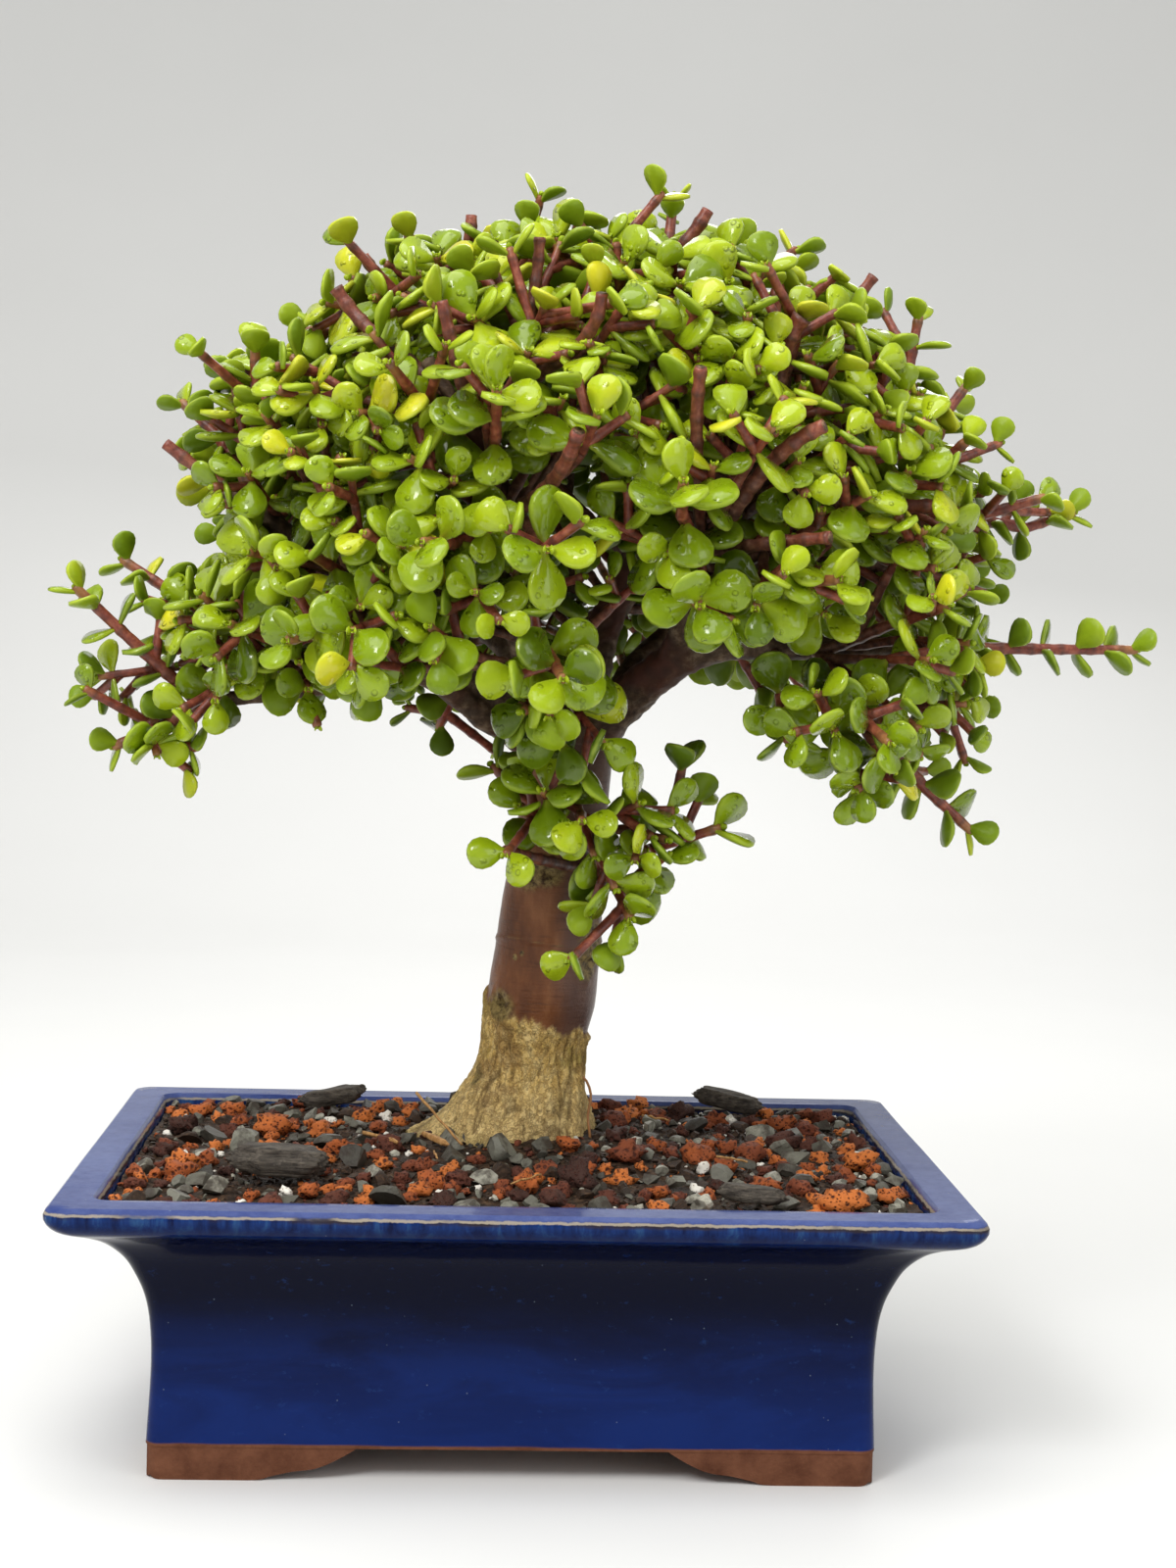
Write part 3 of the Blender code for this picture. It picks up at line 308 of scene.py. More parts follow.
def outline(half_x, half_y, corner, z):
    """Points round a rectangle with rounded corners, anticlockwise from above, and along its sides."""

    def on_corner(quarter, share):
        sign_x, sign_y = CORNERS[quarter % 4]
        angle = math.pi / 2 * (quarter + share)
        centre = Vector((sign_x * (half_x - corner), sign_y * (half_y - corner), z))
        return centre + corner * Vector((math.cos(angle), math.sin(angle), 0))

    points = []
    for quarter in range(4):
        points += [on_corner(quarter, step / CORNER_STEPS) for step in range(CORNER_STEPS + 1)]
        start, goal = points[-1], on_corner(quarter + 1, 0)
        steps = SHORT_STEPS if quarter % 2 else LONG_STEPS
        points += [start.lerp(goal, k / steps) for k in range(1, steps)]
    return points


def pot_loop(drop, inset):
    """The pot's outline this far below the rim's top and inside its face, a little wavy like pressed clay."""
    corner = RIM_CORNER + (BODY_CORNER - RIM_CORNER) * min(inset * MM / BASE_INSET, 1.0)
    half_x, half_y = POT_WIDTH / 2 - inset * MM, POT_DEPTH / 2 - inset * MM
    made = []
    for point in outline(half_x, half_y, corner, POT_HEIGHT - drop * MM):
        wave = Vector((noise.noise(point * 28), noise.noise(point * 28 + Vector((7, 3, 1))), 0))
        made.append(point + wave * CLAY_WAVE)
    return made


def pot_profile():
    """The section from the underside up, over the lip and down the inside, and its count of outer points."""
    outside = even_curve([Vector((d, i, 0)) * MM for d, i in reversed(OUTSIDE)], PROFILE_STEP)
    inside = even_curve([Vector((d, i, 0)) * MM for d, i in INSIDE], PROFILE_STEP * 2)
    lip = [outside[-1].lerp(inside[0], k / LIP_STEPS) for k in range(1, LIP_STEPS)]
    return [(point.x / MM, point.y / MM) for point in outside + lip + inside], len(outside)


def foot_side(run):
    """A bracket foot from the side, from the corner inwards: sole, step and rise to the body."""
    top = FOOT_HEIGHT + FOOT_JOIN
    rough = (
        (0.0, 0.0040), (0.0006, 0.0018), (0.0022, 0.0004), (0.0050, 0.0), (run * 0.30, 0.0),
        (run * 0.52, 0.0001), (run * 0.60, 0.0012), (run * 0.70, 0.0025), (run * 0.81, 0.0034),
        (run * 0.91, 0.0058), (run, 0.0088),
    )
    curve = even_curve([Vector((reach, 0, z)) for reach, z in rough], SOLE_STEP)
    return [(0.0, top)] + [(p.x, max(p.z, 0.0)) for p in curve] + [(run + 0.0004, top)]


def foot_wing(along_x, run):
    """One arm of the front left foot, drawn inwards from its outer face."""
    corner_x, corner_y = -POT_WIDTH / 2 + BASE_INSET + FOOT_SET_IN, -POT_DEPTH / 2 + BASE_INSET + FOOT_SET_IN
    near, far = [], []
    for reach, z in foot_side(run):
        for side, off in ((near, -FOOT_SPARE), (far, FOOT_THICK)):
            x, y = (reach, off) if along_x else (off, reach)
            side.append(Vector((corner_x + x, corner_y + y, z)))
    return drawn_up("foot_wing", [near, far])


profile, outer_count = pot_profile()
pot = drawn_up("glazed_pot", [pot_loop(drop, inset) for drop, inset in profile])

front_left_foot = combined(foot_wing(True, FOOT_RUN_X), foot_wing(False, FOOT_RUN_Y), "UNION")
half_x, half_y = POT_WIDTH / 2 - BASE_INSET - FOOT_SET_IN, POT_DEPTH / 2 - BASE_INSET - FOOT_SET_IN
plan = [outline(half_x, half_y, BODY_CORNER, z) for z in (-0.001, FOOT_HEIGHT + 0.004)]
combined(front_left_foot, drawn_up("plan", plan), "INTERSECT")
for mirror in ((-1, 1), (1, -1), (-1, -1)):
    copy = front_left_foot.copy()
    copy.data = front_left_foot.data.copy()
    bpy.context.scene.collection.objects.link(copy)
    copy.data.transform(Matrix.Diagonal((*mirror, 1, 1)))
    if mirror != (-1, -1):
        copy.data.flip_normals()
    combined(pot, copy, "UNION")
combined(pot, front_left_foot, "UNION")
modified(pot, "BEVEL", width=EDGE_WEAR, segments=2, limit_method="ANGLE", angle_limit=math.radians(55))
for drain_x in (-DRAIN_X, DRAIN_X):
    start_afresh()
    middle_z = FOOT_HEIGHT + FLOOR / 2
    bpy.ops.mesh.primitive_cylinder_add(
        vertices=36, radius=DRAIN_RADIUS, depth=FLOOR + DRILL_SPARE, location=(drain_x, 0, middle_z)
    )
    drill = bpy.context.object
    bpy.ops.object.transform_apply(location=True)
    combined(pot, drill, "DIFFERENCE")

glaze, place, _ = new_finish("cobalt_glaze", {"IOR": 1.45, "Specular IOR Level": 0.11})
height = place.axis(2)
cloud = place.stretched(16, 16, 60).noise(1.0, 5, 0.6, 0.6)
grain = place.stretched(260, 260, 420).noise(1.0, 4, 0.7)
speck = place.cells(210.0)
# the body is painted darker towards the top, under the overhanging lip: painted shade
body_blue_and_painted_shade = height.rise(0.052, 0.012).blend((0.0010, 0.0022, 0.014), (0.0024, 0.0120, 0.085))
clouded = cloud.rise(0.38, 0.66) * height.rise(0.055, 0.020) * 0.7
body_blue_and_painted_shade = clouded.blend(body_blue_and_painted_shade, (0.0040, 0.0190, 0.1250))
streaks = place.stretched(190, 190, 26).noise(1.0, 4, 0.7, 0.4)
rim_blue_and_painted_shade = streaks.ramp(
    (0.36, (0.002, 0.006, 0.038)), (0.53, (0.007, 0.026, 0.120)), (0.72, (0.030, 0.095, 0.210))
)
# the lower edge of the rim, where it turns under, is painted darker: painted shade
rim_blue_and_painted_shade = (height.rise(0.0775, 0.0735) * 0.8).blend(rim_blue_and_painted_shade, (0.0018, 0.0070, 0.0460))
blue = height.rise(0.0700, 0.0735).blend(body_blue_and_painted_shade, rim_blue_and_painted_shade)
# the lip's top is painted a lighter, mottled blue: painted reflection of the pale surroundings on the glaze
lip_blue_painted_reflection = (cloud * 0.6 + grain * 0.4).ramp((0.38, (0.035, 0.055, 0.190)), (0.62, (0.085, 0.115, 0.280)))
blue = height.rise(0.0782, 0.0791).blend(blue, lip_blue_painted_reflection)
blue = (grain.rise(0.60, 0.75) * 0.35).blend(blue, (0.012, 0.042, 0.170))
edge = height + (grain - 0.5) * 0.0012
thin = edge.rise(0.0768, 0.0778) * edge.rise(0.0790, 0.0783)
broken = place.noise(34.0, 3).rise(0.40, 0.56)
blue = (thin * broken * 0.85).blend(blue, (0.030, 0.022, 0.020))
worn = edge.rise(0.0779, 0.0782) * edge.rise(0.0789, 0.0785) * place.noise(46.0, 4).rise(0.30, 0.46)
blue = (worn * 0.8).blend(blue, (0.36, 0.31, 0.24))
blue = (speck.rise(0.055, 0.03) * 0.5).blend(blue, (0.16, 0.20, 0.26))
clay = place.noise(120.0, 5, 0.65).ramp((0.3, (0.090, 0.032, 0.017)), (0.7, (0.190, 0.077, 0.041)))
bare = (height + (place.noise(60.0) - 0.5) * 0.0012).rise(0.0104, 0.0098)
colour = bare.blend(blue, clay)
skin = place.noise(85.0, 2) * 0.5 + grain * 0.12 + speck.rise(0.0, 0.06) * 0.15
grit = place.noise(900.0, 3)
shade(glaze, {
    "Base Color": colour,
    "Roughness": bare * 0.62 + (0.10 + cloud * 0.10),
    "Normal": grit.node("Mix", {0: bare, 2: skin * 0.5, 3: grit * 0.5}).bump(0.35, 0.0012),
})
dress(pot, glaze)
pot.data.shade_smooth()
pot.data.set_sharp_from_angle(angle=math.radians(38))
settled(pot)
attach(pot, "root")
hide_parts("pot")


# Two squares of woven plastic mesh lie over the drain holes and keep the soil in.
SCREEN_SIDE, SCREEN_THICK, SCREEN_STRAND, SCREEN_CELLS = 0.030, 0.0012, 0.0009, 11
FIT_GAP = 0.0003

plastic, place, _ = new_finish("screen_plastic", {"IOR": 1.46})
scuffs = place.noise(700.0, 4, 0.6)
shade(plastic, {
    "Base Color": scuffs.ramp((0.35, (0.012, 0.013, 0.014)), (0.75, (0.045, 0.046, 0.047))),
    "Roughness": scuffs * 0.3 + 0.42,
    "Normal": place.noise(1500.0, 2).bump(0.2, 0.0003),
})
for side_name, screen_x in (("left", -DRAIN_X), ("right", DRAIN_X)):
    start_afresh()
    low = FOOT_HEIGHT + FLOOR + FIT_GAP + SCREEN_THICK / 2
    bpy.ops.mesh.primitive_grid_add(
        x_subdivisions=SCREEN_CELLS, y_subdivisions=SCREEN_CELLS, size=SCREEN_SIDE - SCREEN_STRAND,
        location=(screen_x, 0, low),
    )
    bpy.ops.object.transform_apply(location=True)
    screen = bpy.context.object
    screen.name = "woven_screen_" + side_name
    modified(screen, "WIREFRAME", thickness=SCREEN_STRAND, use_even_offset=False)
    dress(screen, plastic)
    settled(screen)
    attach(screen, "root")
    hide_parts("drain_screen_" + side_name)


# The bed of soil is dark peat and fine crumbs, pressed in round the root and mounded a little at the trunk.
SOIL_EDGE_Z = POT_HEIGHT - 0.0042
SOIL_MOUND, MOUND_REACH_X, MOUND_REACH_Y = 0.0062, 0.075, 0.055
SOIL_INSET = 0.35
TRUNK_X, TRUNK_Y = 0.003, 0.020
SOIL_STEPS_X, SOIL_STEPS_Y = 150, 100
BLANKET_MARGIN, BLANKET_RISE = 0.008, 0.03


def soil_top(x, y):
    """The bed's height: level at the walls, mounded at the trunk, and softly uneven."""
    away = math.hypot((x - TRUNK_X) / MOUND_REACH_X, (y - TRUNK_Y) / MOUND_REACH_Y)
    swell = noise.noise(Vector((x * 26, y * 26, 3.1))) * 0.0012
    return SOIL_EDGE_Z + SOIL_MOUND * math.exp(-(away**2)) + swell


def crumbs(x, y):
    """Fine crumbs and hollows of the peat."""
    coarse = noise.noise(Vector((x * 210, y * 210, 1.7)))
    fine = noise.noise(Vector((x * 560, y * 560, 5.2)))
    return coarse * 0.0009 + fine * 0.0005


inner = [(drop, inset) for drop, inset in profile[outer_count + LIP_STEPS - 1:] if drop > 3.0]
bed_loops = [pot_loop(drop, inset + SOIL_INSET) for drop, inset in reversed(inner)]
bed_loops[0] = [p + Vector((0, 0, FIT_GAP)) for p in bed_loops[0]]
bed_loops.append([Vector((p.x, p.y, POT_HEIGHT + 0.012)) for p in bed_loops[-1]])
bed = drawn_up("peat_bed", bed_loops)
start_afresh()
bpy.ops.mesh.primitive_grid_add(x_subdivisions=SOIL_STEPS_X, y_subdivisions=SOIL_STEPS_Y, size=1)
blanket = bpy.context.object
half_x, half_y = POT_WIDTH / 2 - BLANKET_MARGIN, POT_DEPTH / 2 - BLANKET_MARGIN
for vert in blanket.data.vertices:
    x, y = vert.co.x * 2 * half_x, vert.co.y * 2 * half_y
    vert.co = (x, y, soil_top(x, y) + crumbs(x, y))
bpy.ops.object.mode_set(mode="EDIT")
bpy.ops.mesh.select_all(action="SELECT")
bpy.ops.mesh.extrude_region_move(TRANSFORM_OT_translate={"value": (0, 0, BLANKET_RISE)})
bpy.ops.mesh.select_all(action="SELECT")
bpy.ops.mesh.normals_make_consistent(inside=False)
bpy.ops.object.mode_set(mode="OBJECT")
combined(bed, blanket, "DIFFERENCE")

peat, place, _ = new_finish("peat", {"IOR": 1.4, "Specular IOR Level": 0.3})
mottle = place.noise(330.0, 5, 0.7)
damp = place.noise(40.0, 3)
shade(peat, {
    "Base Color": mottle.ramp(
        (0.34, (0.008, 0.0045, 0.003)), (0.50, (0.034, 0.019, 0.011)), (0.64, (0.095, 0.054, 0.031))
    ),
    "Roughness": damp * 0.4 + 0.5,
    "Normal": (mottle + place.noise(1300.0, 3) * 0.4).bump(0.9, 0.0012),
})
dress(bed, peat)
settled(bed)
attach(bed, "root")
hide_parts("soil")


# Loose grit covers the bed: red lava, grey and greenish stone, black bark crumbs and a few white perlite
# grains, sieved to about five to eleven millimetres, each grain lying partly sunk in the peat.
GRIT_SEED = 7
GRIT_MARGIN, GRIT_OVERHANG = 0.0148, 0.002
GRIT_HALF_X, GRIT_HALF_Y = POT_WIDTH / 2 - GRIT_MARGIN, POT_DEPTH / 2 - GRIT_MARGIN
# centre and half length and width of the ground that each flake of bark covers
CHIP_ROOM = ((-67, -38, 17, 10), (-58, 58, 12, 6), (70, 58, 13, 6), (64, -60, 11, 5))
ROOT_ROOM = 0.0215
LEFT_ROOT_TIP_X, LEFT_ROOT_HALF, LEFT_ROOT_SHIFT = -0.034, 0.006, 0.002
# most grains keep their size and the rest are larger, all are tipped, and they stand this far up in the peat
USUAL_SHARE, LARGER = 0.8, 1.15
GRIT_TIP, GRIT_STANDS = 0.9, (0.04, 0.30)


def rolled(roll, *limits):
    """A vector of three draws in a row."""
    return Vector([roll(*limits) for _ in range(3)])


def pitted_lump(draw, depth):
    """A rounded, pitted grain, one across: a ball pushed in and out."""
    start_afresh()
    bpy.ops.mesh.primitive_ico_sphere_add(subdivisions=3, radius=0.5)
    lump = bpy.context.object
    shift = rolled(draw.uniform, 0, 90)
    squash = Vector((1.0, draw.uniform(0.68, 0.92), draw.uniform(0.58, 0.80)))
    for vert in lump.data.vertices:
        way = vert.co.normalized()
        push = noise.noise(way * 1.4 + shift) * 0.34 + noise.noise(way * 3.7 + shift) * depth
        vert.co = Vector(w * s for w, s in zip(way * (0.5 + push), squash))
    modified(lump, "DECIMATE", ratio=0.34)
    return lump


def split_stone(draw, cuts):
    """An angular grain, one across: a ball cut by flat breaks."""
    start_afresh()
    bpy.ops.mesh.primitive_ico_sphere_add(subdivisions=2, radius=0.56)
    stone = bpy.context.object
    bpy.ops.object.mode_set(mode="EDIT")
    for _ in range(cuts):
        way = rolled(draw.gauss, 0, 1).normalized()
        bpy.ops.mesh.select_all(action="SELECT")
        bpy.ops.mesh.bisect(
            plane_co=way * draw.uniform(0.17, 0.40), plane_no=way, use_fill=True, clear_outer=True
        )
    bpy.ops.mesh.select_all(action="SELECT")
    bpy.ops.mesh.dissolve_limited(angle_limit=math.radians(9))
    bpy.ops.mesh.quads_convert_to_tris()
    bpy.ops.object.mode_set(mode="OBJECT")
    squash = Vector((1.0, draw.uniform(0.65, 0.9), draw.uniform(0.5, 0.8)))
    for vert in stone.data.vertices:
        push = 1.0 + noise.noise(vert.co * 3.1 + way) * 0.12
        vert.co = Vector(w * s * push for w, s in zip(vert.co, squash))
    return stone


class Gathered:
    """Points, faces and paint of a piece that is put together from many small shapes."""

    def __init__(self):
        self.verts, self.faces, self.paint, self.uv, self.kinds = [], [], [], [], []
        self.count = 0

    def add(self, verts, faces, paint, uv=None, kind=0):
        """Adds a shape. paint is one colour for all its points, or one for each."""
        verts = np.asarray(verts, float)
        paint = np.broadcast_to(np.asarray(paint, float), (len(verts), 4))
        self.verts.append(verts)
        self.paint.append(paint)
        self.uv.append(np.zeros((len(verts), 2)) if uv is None else np.asarray(uv, float))
        self.faces += [tuple(i + self.count for i in face) for face in faces]
        self.kinds += [kind] * len(faces)
        self.count += len(verts)

    def piece(self, name, materials):
        """The finished mesh, settled in place, with its paint and surface coordinates."""
        mesh = bpy.data.meshes.new(name)
        mesh.from_pydata(np.concatenate(self.verts).tolist(), [], self.faces)
        for material in materials:
            mesh.materials.append(material)
        mesh.polygons.foreach_set("material_index", self.kinds)
        paint = mesh.color_attributes.new("growth", "FLOAT_COLOR", "POINT")
        paint.data.foreach_set("color", np.concatenate(self.paint).astype(np.float32).ravel())
        corners = np.zeros(len(mesh.loops), np.int32)
        mesh.loops.foreach_get("vertex_index", corners)
        flat = np.concatenate(self.uv).astype(np.float32)[corners]
        mesh.uv_layers.new(name="surface").data.foreach_set("uv", flat.ravel())
        mesh.shade_smooth()
        made = bpy.data.objects.new(name, mesh)
        bpy.context.scene.collection.objects.link(made)
        return settled(made)


def shape_of(piece):
    """The points and faces of a model, which is used up."""
    verts = np.array([v.co for v in piece.data.vertices])
    faces = [tuple(p.vertices) for p in piece.data.polygons]
    bpy.data.objects.remove(piece)
    return verts, faces


def in_the_way(x, y, size, layer):
    """Whether a grain here would stand in the trunk, its left root or, if it isn't small, a flake of bark."""
    if math.hypot(x - TRUNK_X, y - TRUNK_Y) < ROOT_ROOM + size * 0.35:
        return True
    if abs(y - TRUNK_Y + LEFT_ROOT_SHIFT) < LEFT_ROOT_HALF + size * 0.3 and LEFT_ROOT_TIP_X < x < TRUNK_X:
        return True
    if layer == 2:
        return False
    own = size / MM * 0.3
    return any(
        ((x / MM - middle_x) / (half_l + own)) ** 2 + ((y / MM - middle_y) / (half_w + own)) ** 2 < 1
        for middle_x, middle_y, half_l, half_w in CHIP_ROOM
    )


draw = random.Random(GRIT_SEED)
lava_kinds = [shape_of(pitted_lump(draw, 0.19)) for _ in range(8)]
stone_kinds = [shape_of(split_stone(draw, cuts)) for cuts in (6, 7, 8, 7, 9, 8, 6, 10)]
crumb_kinds = [shape_of(split_stone(draw, cuts)) for cuts in (8, 9, 11, 10)]
GRIT = (
    # name, share of the larger and of the smallest grains, kinds and sizes
    ("lava_grit", (0.42, 0.18), lava_kinds, (4.5, 10.5)),
    ("stone_grit", (0.41, 0.16), stone_kinds, (4.5, 11.0)),
    ("bark_crumbs", (0.13, 0.64), stone_kinds, (4.0, 8.5)),
    ("perlite", (0.04, 0.02), lava_kinds, (2.4, 5.0)),
)
GRIT_LAYERS = (
    # layer, tries, scale of its grains and how far apart they lie, as a share of their reach
    (0, 1500, 1.0, 0.86), (1, 2100, 0.60, 0.84), (2, 8200, 0.30, 0.80),
)
beds = {name: Gathered() for name, _, _, _ in GRIT}
lying = []
for layer, tries, scale, apart in GRIT_LAYERS:
    for _ in range(tries):
        pick, running = draw.random(), 0.0
        for name, shares, kinds, (small, large) in GRIT:
            running += shares[layer // 2]
            if pick < running:
                break
        size = draw.uniform(small, large) * MM * scale * (1.0 if draw.random() < USUAL_SHARE else LARGER)
        x = draw.uniform(-GRIT_HALF_X, GRIT_HALF_X)
        y = draw.uniform(-GRIT_HALF_Y, GRIT_HALF_Y)
        reach = size * 0.5
        over_x = abs(x) > GRIT_HALF_X + GRIT_OVERHANG - reach
        over_y = abs(y) > GRIT_HALF_Y + GRIT_OVERHANG - reach
        if over_x or over_y or in_the_way(x, y, size, layer):
            continue
        if any(math.hypot(x - ox, y - oy) < apart * (reach + other) for ox, oy, other in lying):
            continue
        lying.append((x, y, reach))
        verts, faces = draw.choice(crumb_kinds if layer == 2 and name != "perlite" else kinds)
        tip = draw.uniform(-GRIT_TIP, GRIT_TIP)
        turn = Matrix.Rotation(draw.uniform(0, 2 * math.pi), 3, "Z") @ Matrix.Rotation(tip, 3, "X")
        z = soil_top(x, y) + size * draw.uniform(*GRIT_STANDS)
        place = verts @ np.array(turn).T * size + np.array((x, y, z))
        beds[name].add(place, faces, (draw.random(), draw.random(), layer / 2, 1))

lava, place, _ = new_finish("lava", {"IOR": 1.45, "Specular IOR Level": 0.3})
paint = place.node("Attribute", attribute_name="growth")
pores = place.cells(900.0).rise(0.10, 0.42)
large_pores = place.cells(420.0).rise(0.12, 0.40)
rust = (paint.channel(0) + place.noise(150.0, 3) * 0.3).ramp(
    (0.22, (0.050, 0.021, 0.015)), (0.52, (0.150, 0.040, 0.020)),
    (0.80, (0.360, 0.088, 0.022)), (1.0, (0.56, 0.16, 0.035)),
)
shade(lava, {
    "Base Color": (pores * large_pores).rise(0.0, 0.7).blend((0.075, 0.020, 0.012), rust),
    "Roughness": place.noise(300.0) * 0.3 + 0.62,
    "Normal": (pores + large_pores * 1.4 + place.noise(1500.0, 3) * 0.6).bump(0.85, 0.0006),
})

stone, place, _ = new_finish("grey_stone", {"IOR": 1.5, "Specular IOR Level": 0.3})
paint = place.node("Attribute", attribute_name="growth")
flecks = place.noise(620.0, 5, 0.7)
grey = (paint.channel(0) + (flecks - 0.5) * 0.5).ramp(
    (0.05, (0.034, 0.029, 0.022)), (0.45, (0.105, 0.100, 0.078)),
    (0.80, (0.200, 0.196, 0.155)), (1.0, (0.46, 0.44, 0.36)),
)
dirt = place.noise(170.0, 4, 0.6).rise(0.46, 0.62)
shade(stone, {
    "Base Color": (dirt * 0.75).blend(grey, (0.028, 0.016, 0.010)),
    "Roughness": flecks * 0.35 + 0.35,
    "Normal": (flecks + place.noise(160.0, 2) * 0.5).bump(0.6, 0.0006),
})

crumb_bark, place, _ = new_finish("bark_crumb", {"IOR": 1.42, "Specular IOR Level": 0.3})
fibre = place.stretched(500, 1500, 900).noise(1.0, 4, 0.7)
shade(crumb_bark, {
    "Base Color": fibre.ramp(
        (0.3, (0.012, 0.007, 0.005)), (0.55, (0.044, 0.025, 0.015)), (0.75, (0.120, 0.068, 0.038))
    ),
    "Roughness": fibre * 0.4 + 0.42,
    "Normal": fibre.bump(0.8, 0.0006),
})

perlite, place, _ = new_finish("white_perlite", {"IOR": 1.4})
pocks = place.cells(1100.0).rise(0.05, 0.40)
shade(perlite, {
    "Base Color": (pocks + place.noise(200.0) * 0.6).ramp(
        (0.4, (0.36, 0.28, 0.21)), (1.0, (0.78, 0.74, 0.66))
    ),
    "Roughness": pocks * 0.2 + 0.6,
    "Normal": pocks.bump(0.7, 0.0004),
})
for name, material in zip(beds, (lava, stone, crumb_bark, perlite)):
    grit_piece = beds[name].piece(name, [material])
    if name in ("stone_grit", "bark_crumbs"):
        grit_piece.data.set_sharp_from_angle(angle=math.radians(24))
    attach(grit_piece, "root")


# Four flakes of dark pine bark, worn along their grain, and one dry splinter of wood lie loose on the grit.
# Each is drawn up like its solid, skinned anew and laid where that lies.
FLAKES = (
    # name of its solid, its length, width and thickness, turn, tilt, and the cell that its skin is made of
    ("bark_chip_front_left", (31, 17, 7.5), -6, 3, 0.55),
    ("bark_chip_back_left", (22, 9, 5.0), 12, -7, 0.40),
    ("bark_chip_back_right", (24, 9, 5.5), -20, 8, 0.40),
    ("bark_chip_front_right", (20, 8, 4.5), -12, 4, 0.40),
    ("wood_splinter", (15, 2.0, 1.6), -50, 6, 0.20),
)
FLAKE_CORNERS, FLAKE_SQUARENESS = 7, 0.7
# inset of the flake's outline at its underside, middle and top
FLAKE_LAYERS = ((-0.5, 0.80), (0.0, 1.0), (0.5, 0.78))
TORN_FLAKE, TORN_LIFT = "bark_chip_back_left", Vector((0.0030, 0.0005, 0.0042))


def smooth(value, low, high):
    """0 up to low, 1 from high, and smooth between."""
    t = held((value - low) / (high - low))
    return t * t * (3 - 2 * t)


def signed_power(value, power):
    return math.copysign(abs(value) ** power, value)


def flake(name, size, turn, tilt, cell):
    """A ragged flat piece, worn along its length, with its ends frayed."""
    length, width, thick = (s * MM for s in size)
    draw = random.Random(name)
    loops = []
    for layer, inset in FLAKE_LAYERS:
        loop = []
        for k in range(FLAKE_CORNERS):
            angle = 2 * math.pi * k / FLAKE_CORNERS
            ragged = inset * draw.uniform(0.84, 1.0)
            loop.append(Vector((
                length / 2 * ragged * signed_power(math.cos(angle), FLAKE_SQUARENESS),
                width / 2 * ragged * signed_power(math.sin(angle), FLAKE_SQUARENESS),
                thick * (layer + draw.uniform(-0.06, 0.06)),
            )))
        loops.append(loop)
    made = drawn_up("loose_" + name, loops)
    modified(made, "REMESH", mode="VOXEL", voxel_size=cell * MM)
    modified(made, "SMOOTH", factor=0.5, iterations=3)
    shift = Vector((len(name), width * 900, 4))
    for vert in made.data.vertices:
        x, y, z = vert.co
        furrow = noise.noise(Vector((x * 70, y * 520, z * 620)) + shift)
        chipped = noise.noise(Vector((x * 190, y * 190, z * 420)) + shift)
        end = abs(x) / (length / 2)
        frayed = max(end - 0.55, 0.0) * noise.noise(Vector((4, y * 900, z * 900)) + shift) * length * 0.35
        worn = vert.normal * thick * (furrow * 0.07 + chipped * 0.06)
        vert.co += worn + Vector((math.copysign(frayed, x), 0, 0))
        if name == TORN_FLAKE and x > 0:
            torn = smooth(x, length * 0.28, length * 0.48) * smooth(y, -width * 0.1, width * 0.35)
            vert.co += TORN_LIFT * torn
    spin = Matrix.Rotation(math.radians(turn), 4, "Z") @ Matrix.Rotation(math.radians(tilt), 4, "Y")
    made.data.transform(spin)
    low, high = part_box(name)
    own = [[vert.co[k] for vert in made.data.vertices] for k in range(3)]
    middle = [(low[k] + high[k]) / 2 - (min(own[k]) + max(own[k])) / 2 for k in range(3)]
    made.data.transform(Matrix.Translation(Vector(middle)))
    made.data.shade_smooth()
    return made


pine_bark, place, _ = new_finish("pine_bark", {"IOR": 1.42, "Specular IOR Level": 0.3})
layers = place.stretched(120, 900, 1300).noise(1.0, 5, 0.7, 0.3)
dust = place.noise(260.0, 4, 0.7)
shade(pine_bark, {
    "Base Color": (dust.rise(0.48, 0.70) * 0.6).blend(layers.ramp(
        (0.32, (0.016, 0.012, 0.010)), (0.50, (0.062, 0.052, 0.042)), (0.70, (0.140, 0.118, 0.092))
    ), (0.150, 0.126, 0.100)),
    "Roughness": layers * 0.3 + 0.55,
    "Normal": (layers + dust * 0.5).bump(0.7, 0.0007),
})
dry_wood, place, _ = new_finish("dry_wood", {"IOR": 1.42, "Specular IOR Level": 0.3})
grain = place.stretched(900, 900, 300).noise(1.0, 4, 0.7, 0.4)
shade(dry_wood, {
    "Base Color": grain.ramp(
        (0.3, (0.150, 0.065, 0.020)), (0.5, (0.420, 0.220, 0.075)), (0.7, (0.600, 0.360, 0.150))
    ),
    "Roughness": grain * 0.25 + 0.5,
    "Normal": grain.bump(0.6, 0.0004),
})
for name, size, turn, tilt, cell in FLAKES:
    is_splinter = name == "wood_splinter"
    loose = flake(name, size, turn, tilt, cell)
    dress(loose, dry_wood if is_splinter else pine_bark)
    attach(loose, "root")
    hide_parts(name)


# The tree's wood is one grown piece: a buried foot with surface roots, a short trunk, ten limbs, the twigs
# that leave them and the bare stems left by pruning. The foot is corky and fissured, the trunk above it is
# smooth and red-brown with old branch scars, and the limbs are knobbly with leaf scars.
TRUNK_RINGS = (
    # centre x, centre y, height and radius
    (2, 20, 66, 17.5), (2, 20, 76, 18.0), (2, 20, 83, 18.6), (3, 20, 90, 17.6), (4, 20, 99, 16.6),
    (5, 19, 110, 15.8), (7, 17, 122, 16.4), (8, 16, 134, 16.2), (10, 14, 158, 14.8), (12, 14, 180, 13.4),
    (13, 15, 196, 13.2), (14, 16, 207, 11.5),
)
SPROUTING_RINGS = slice(8, 11)
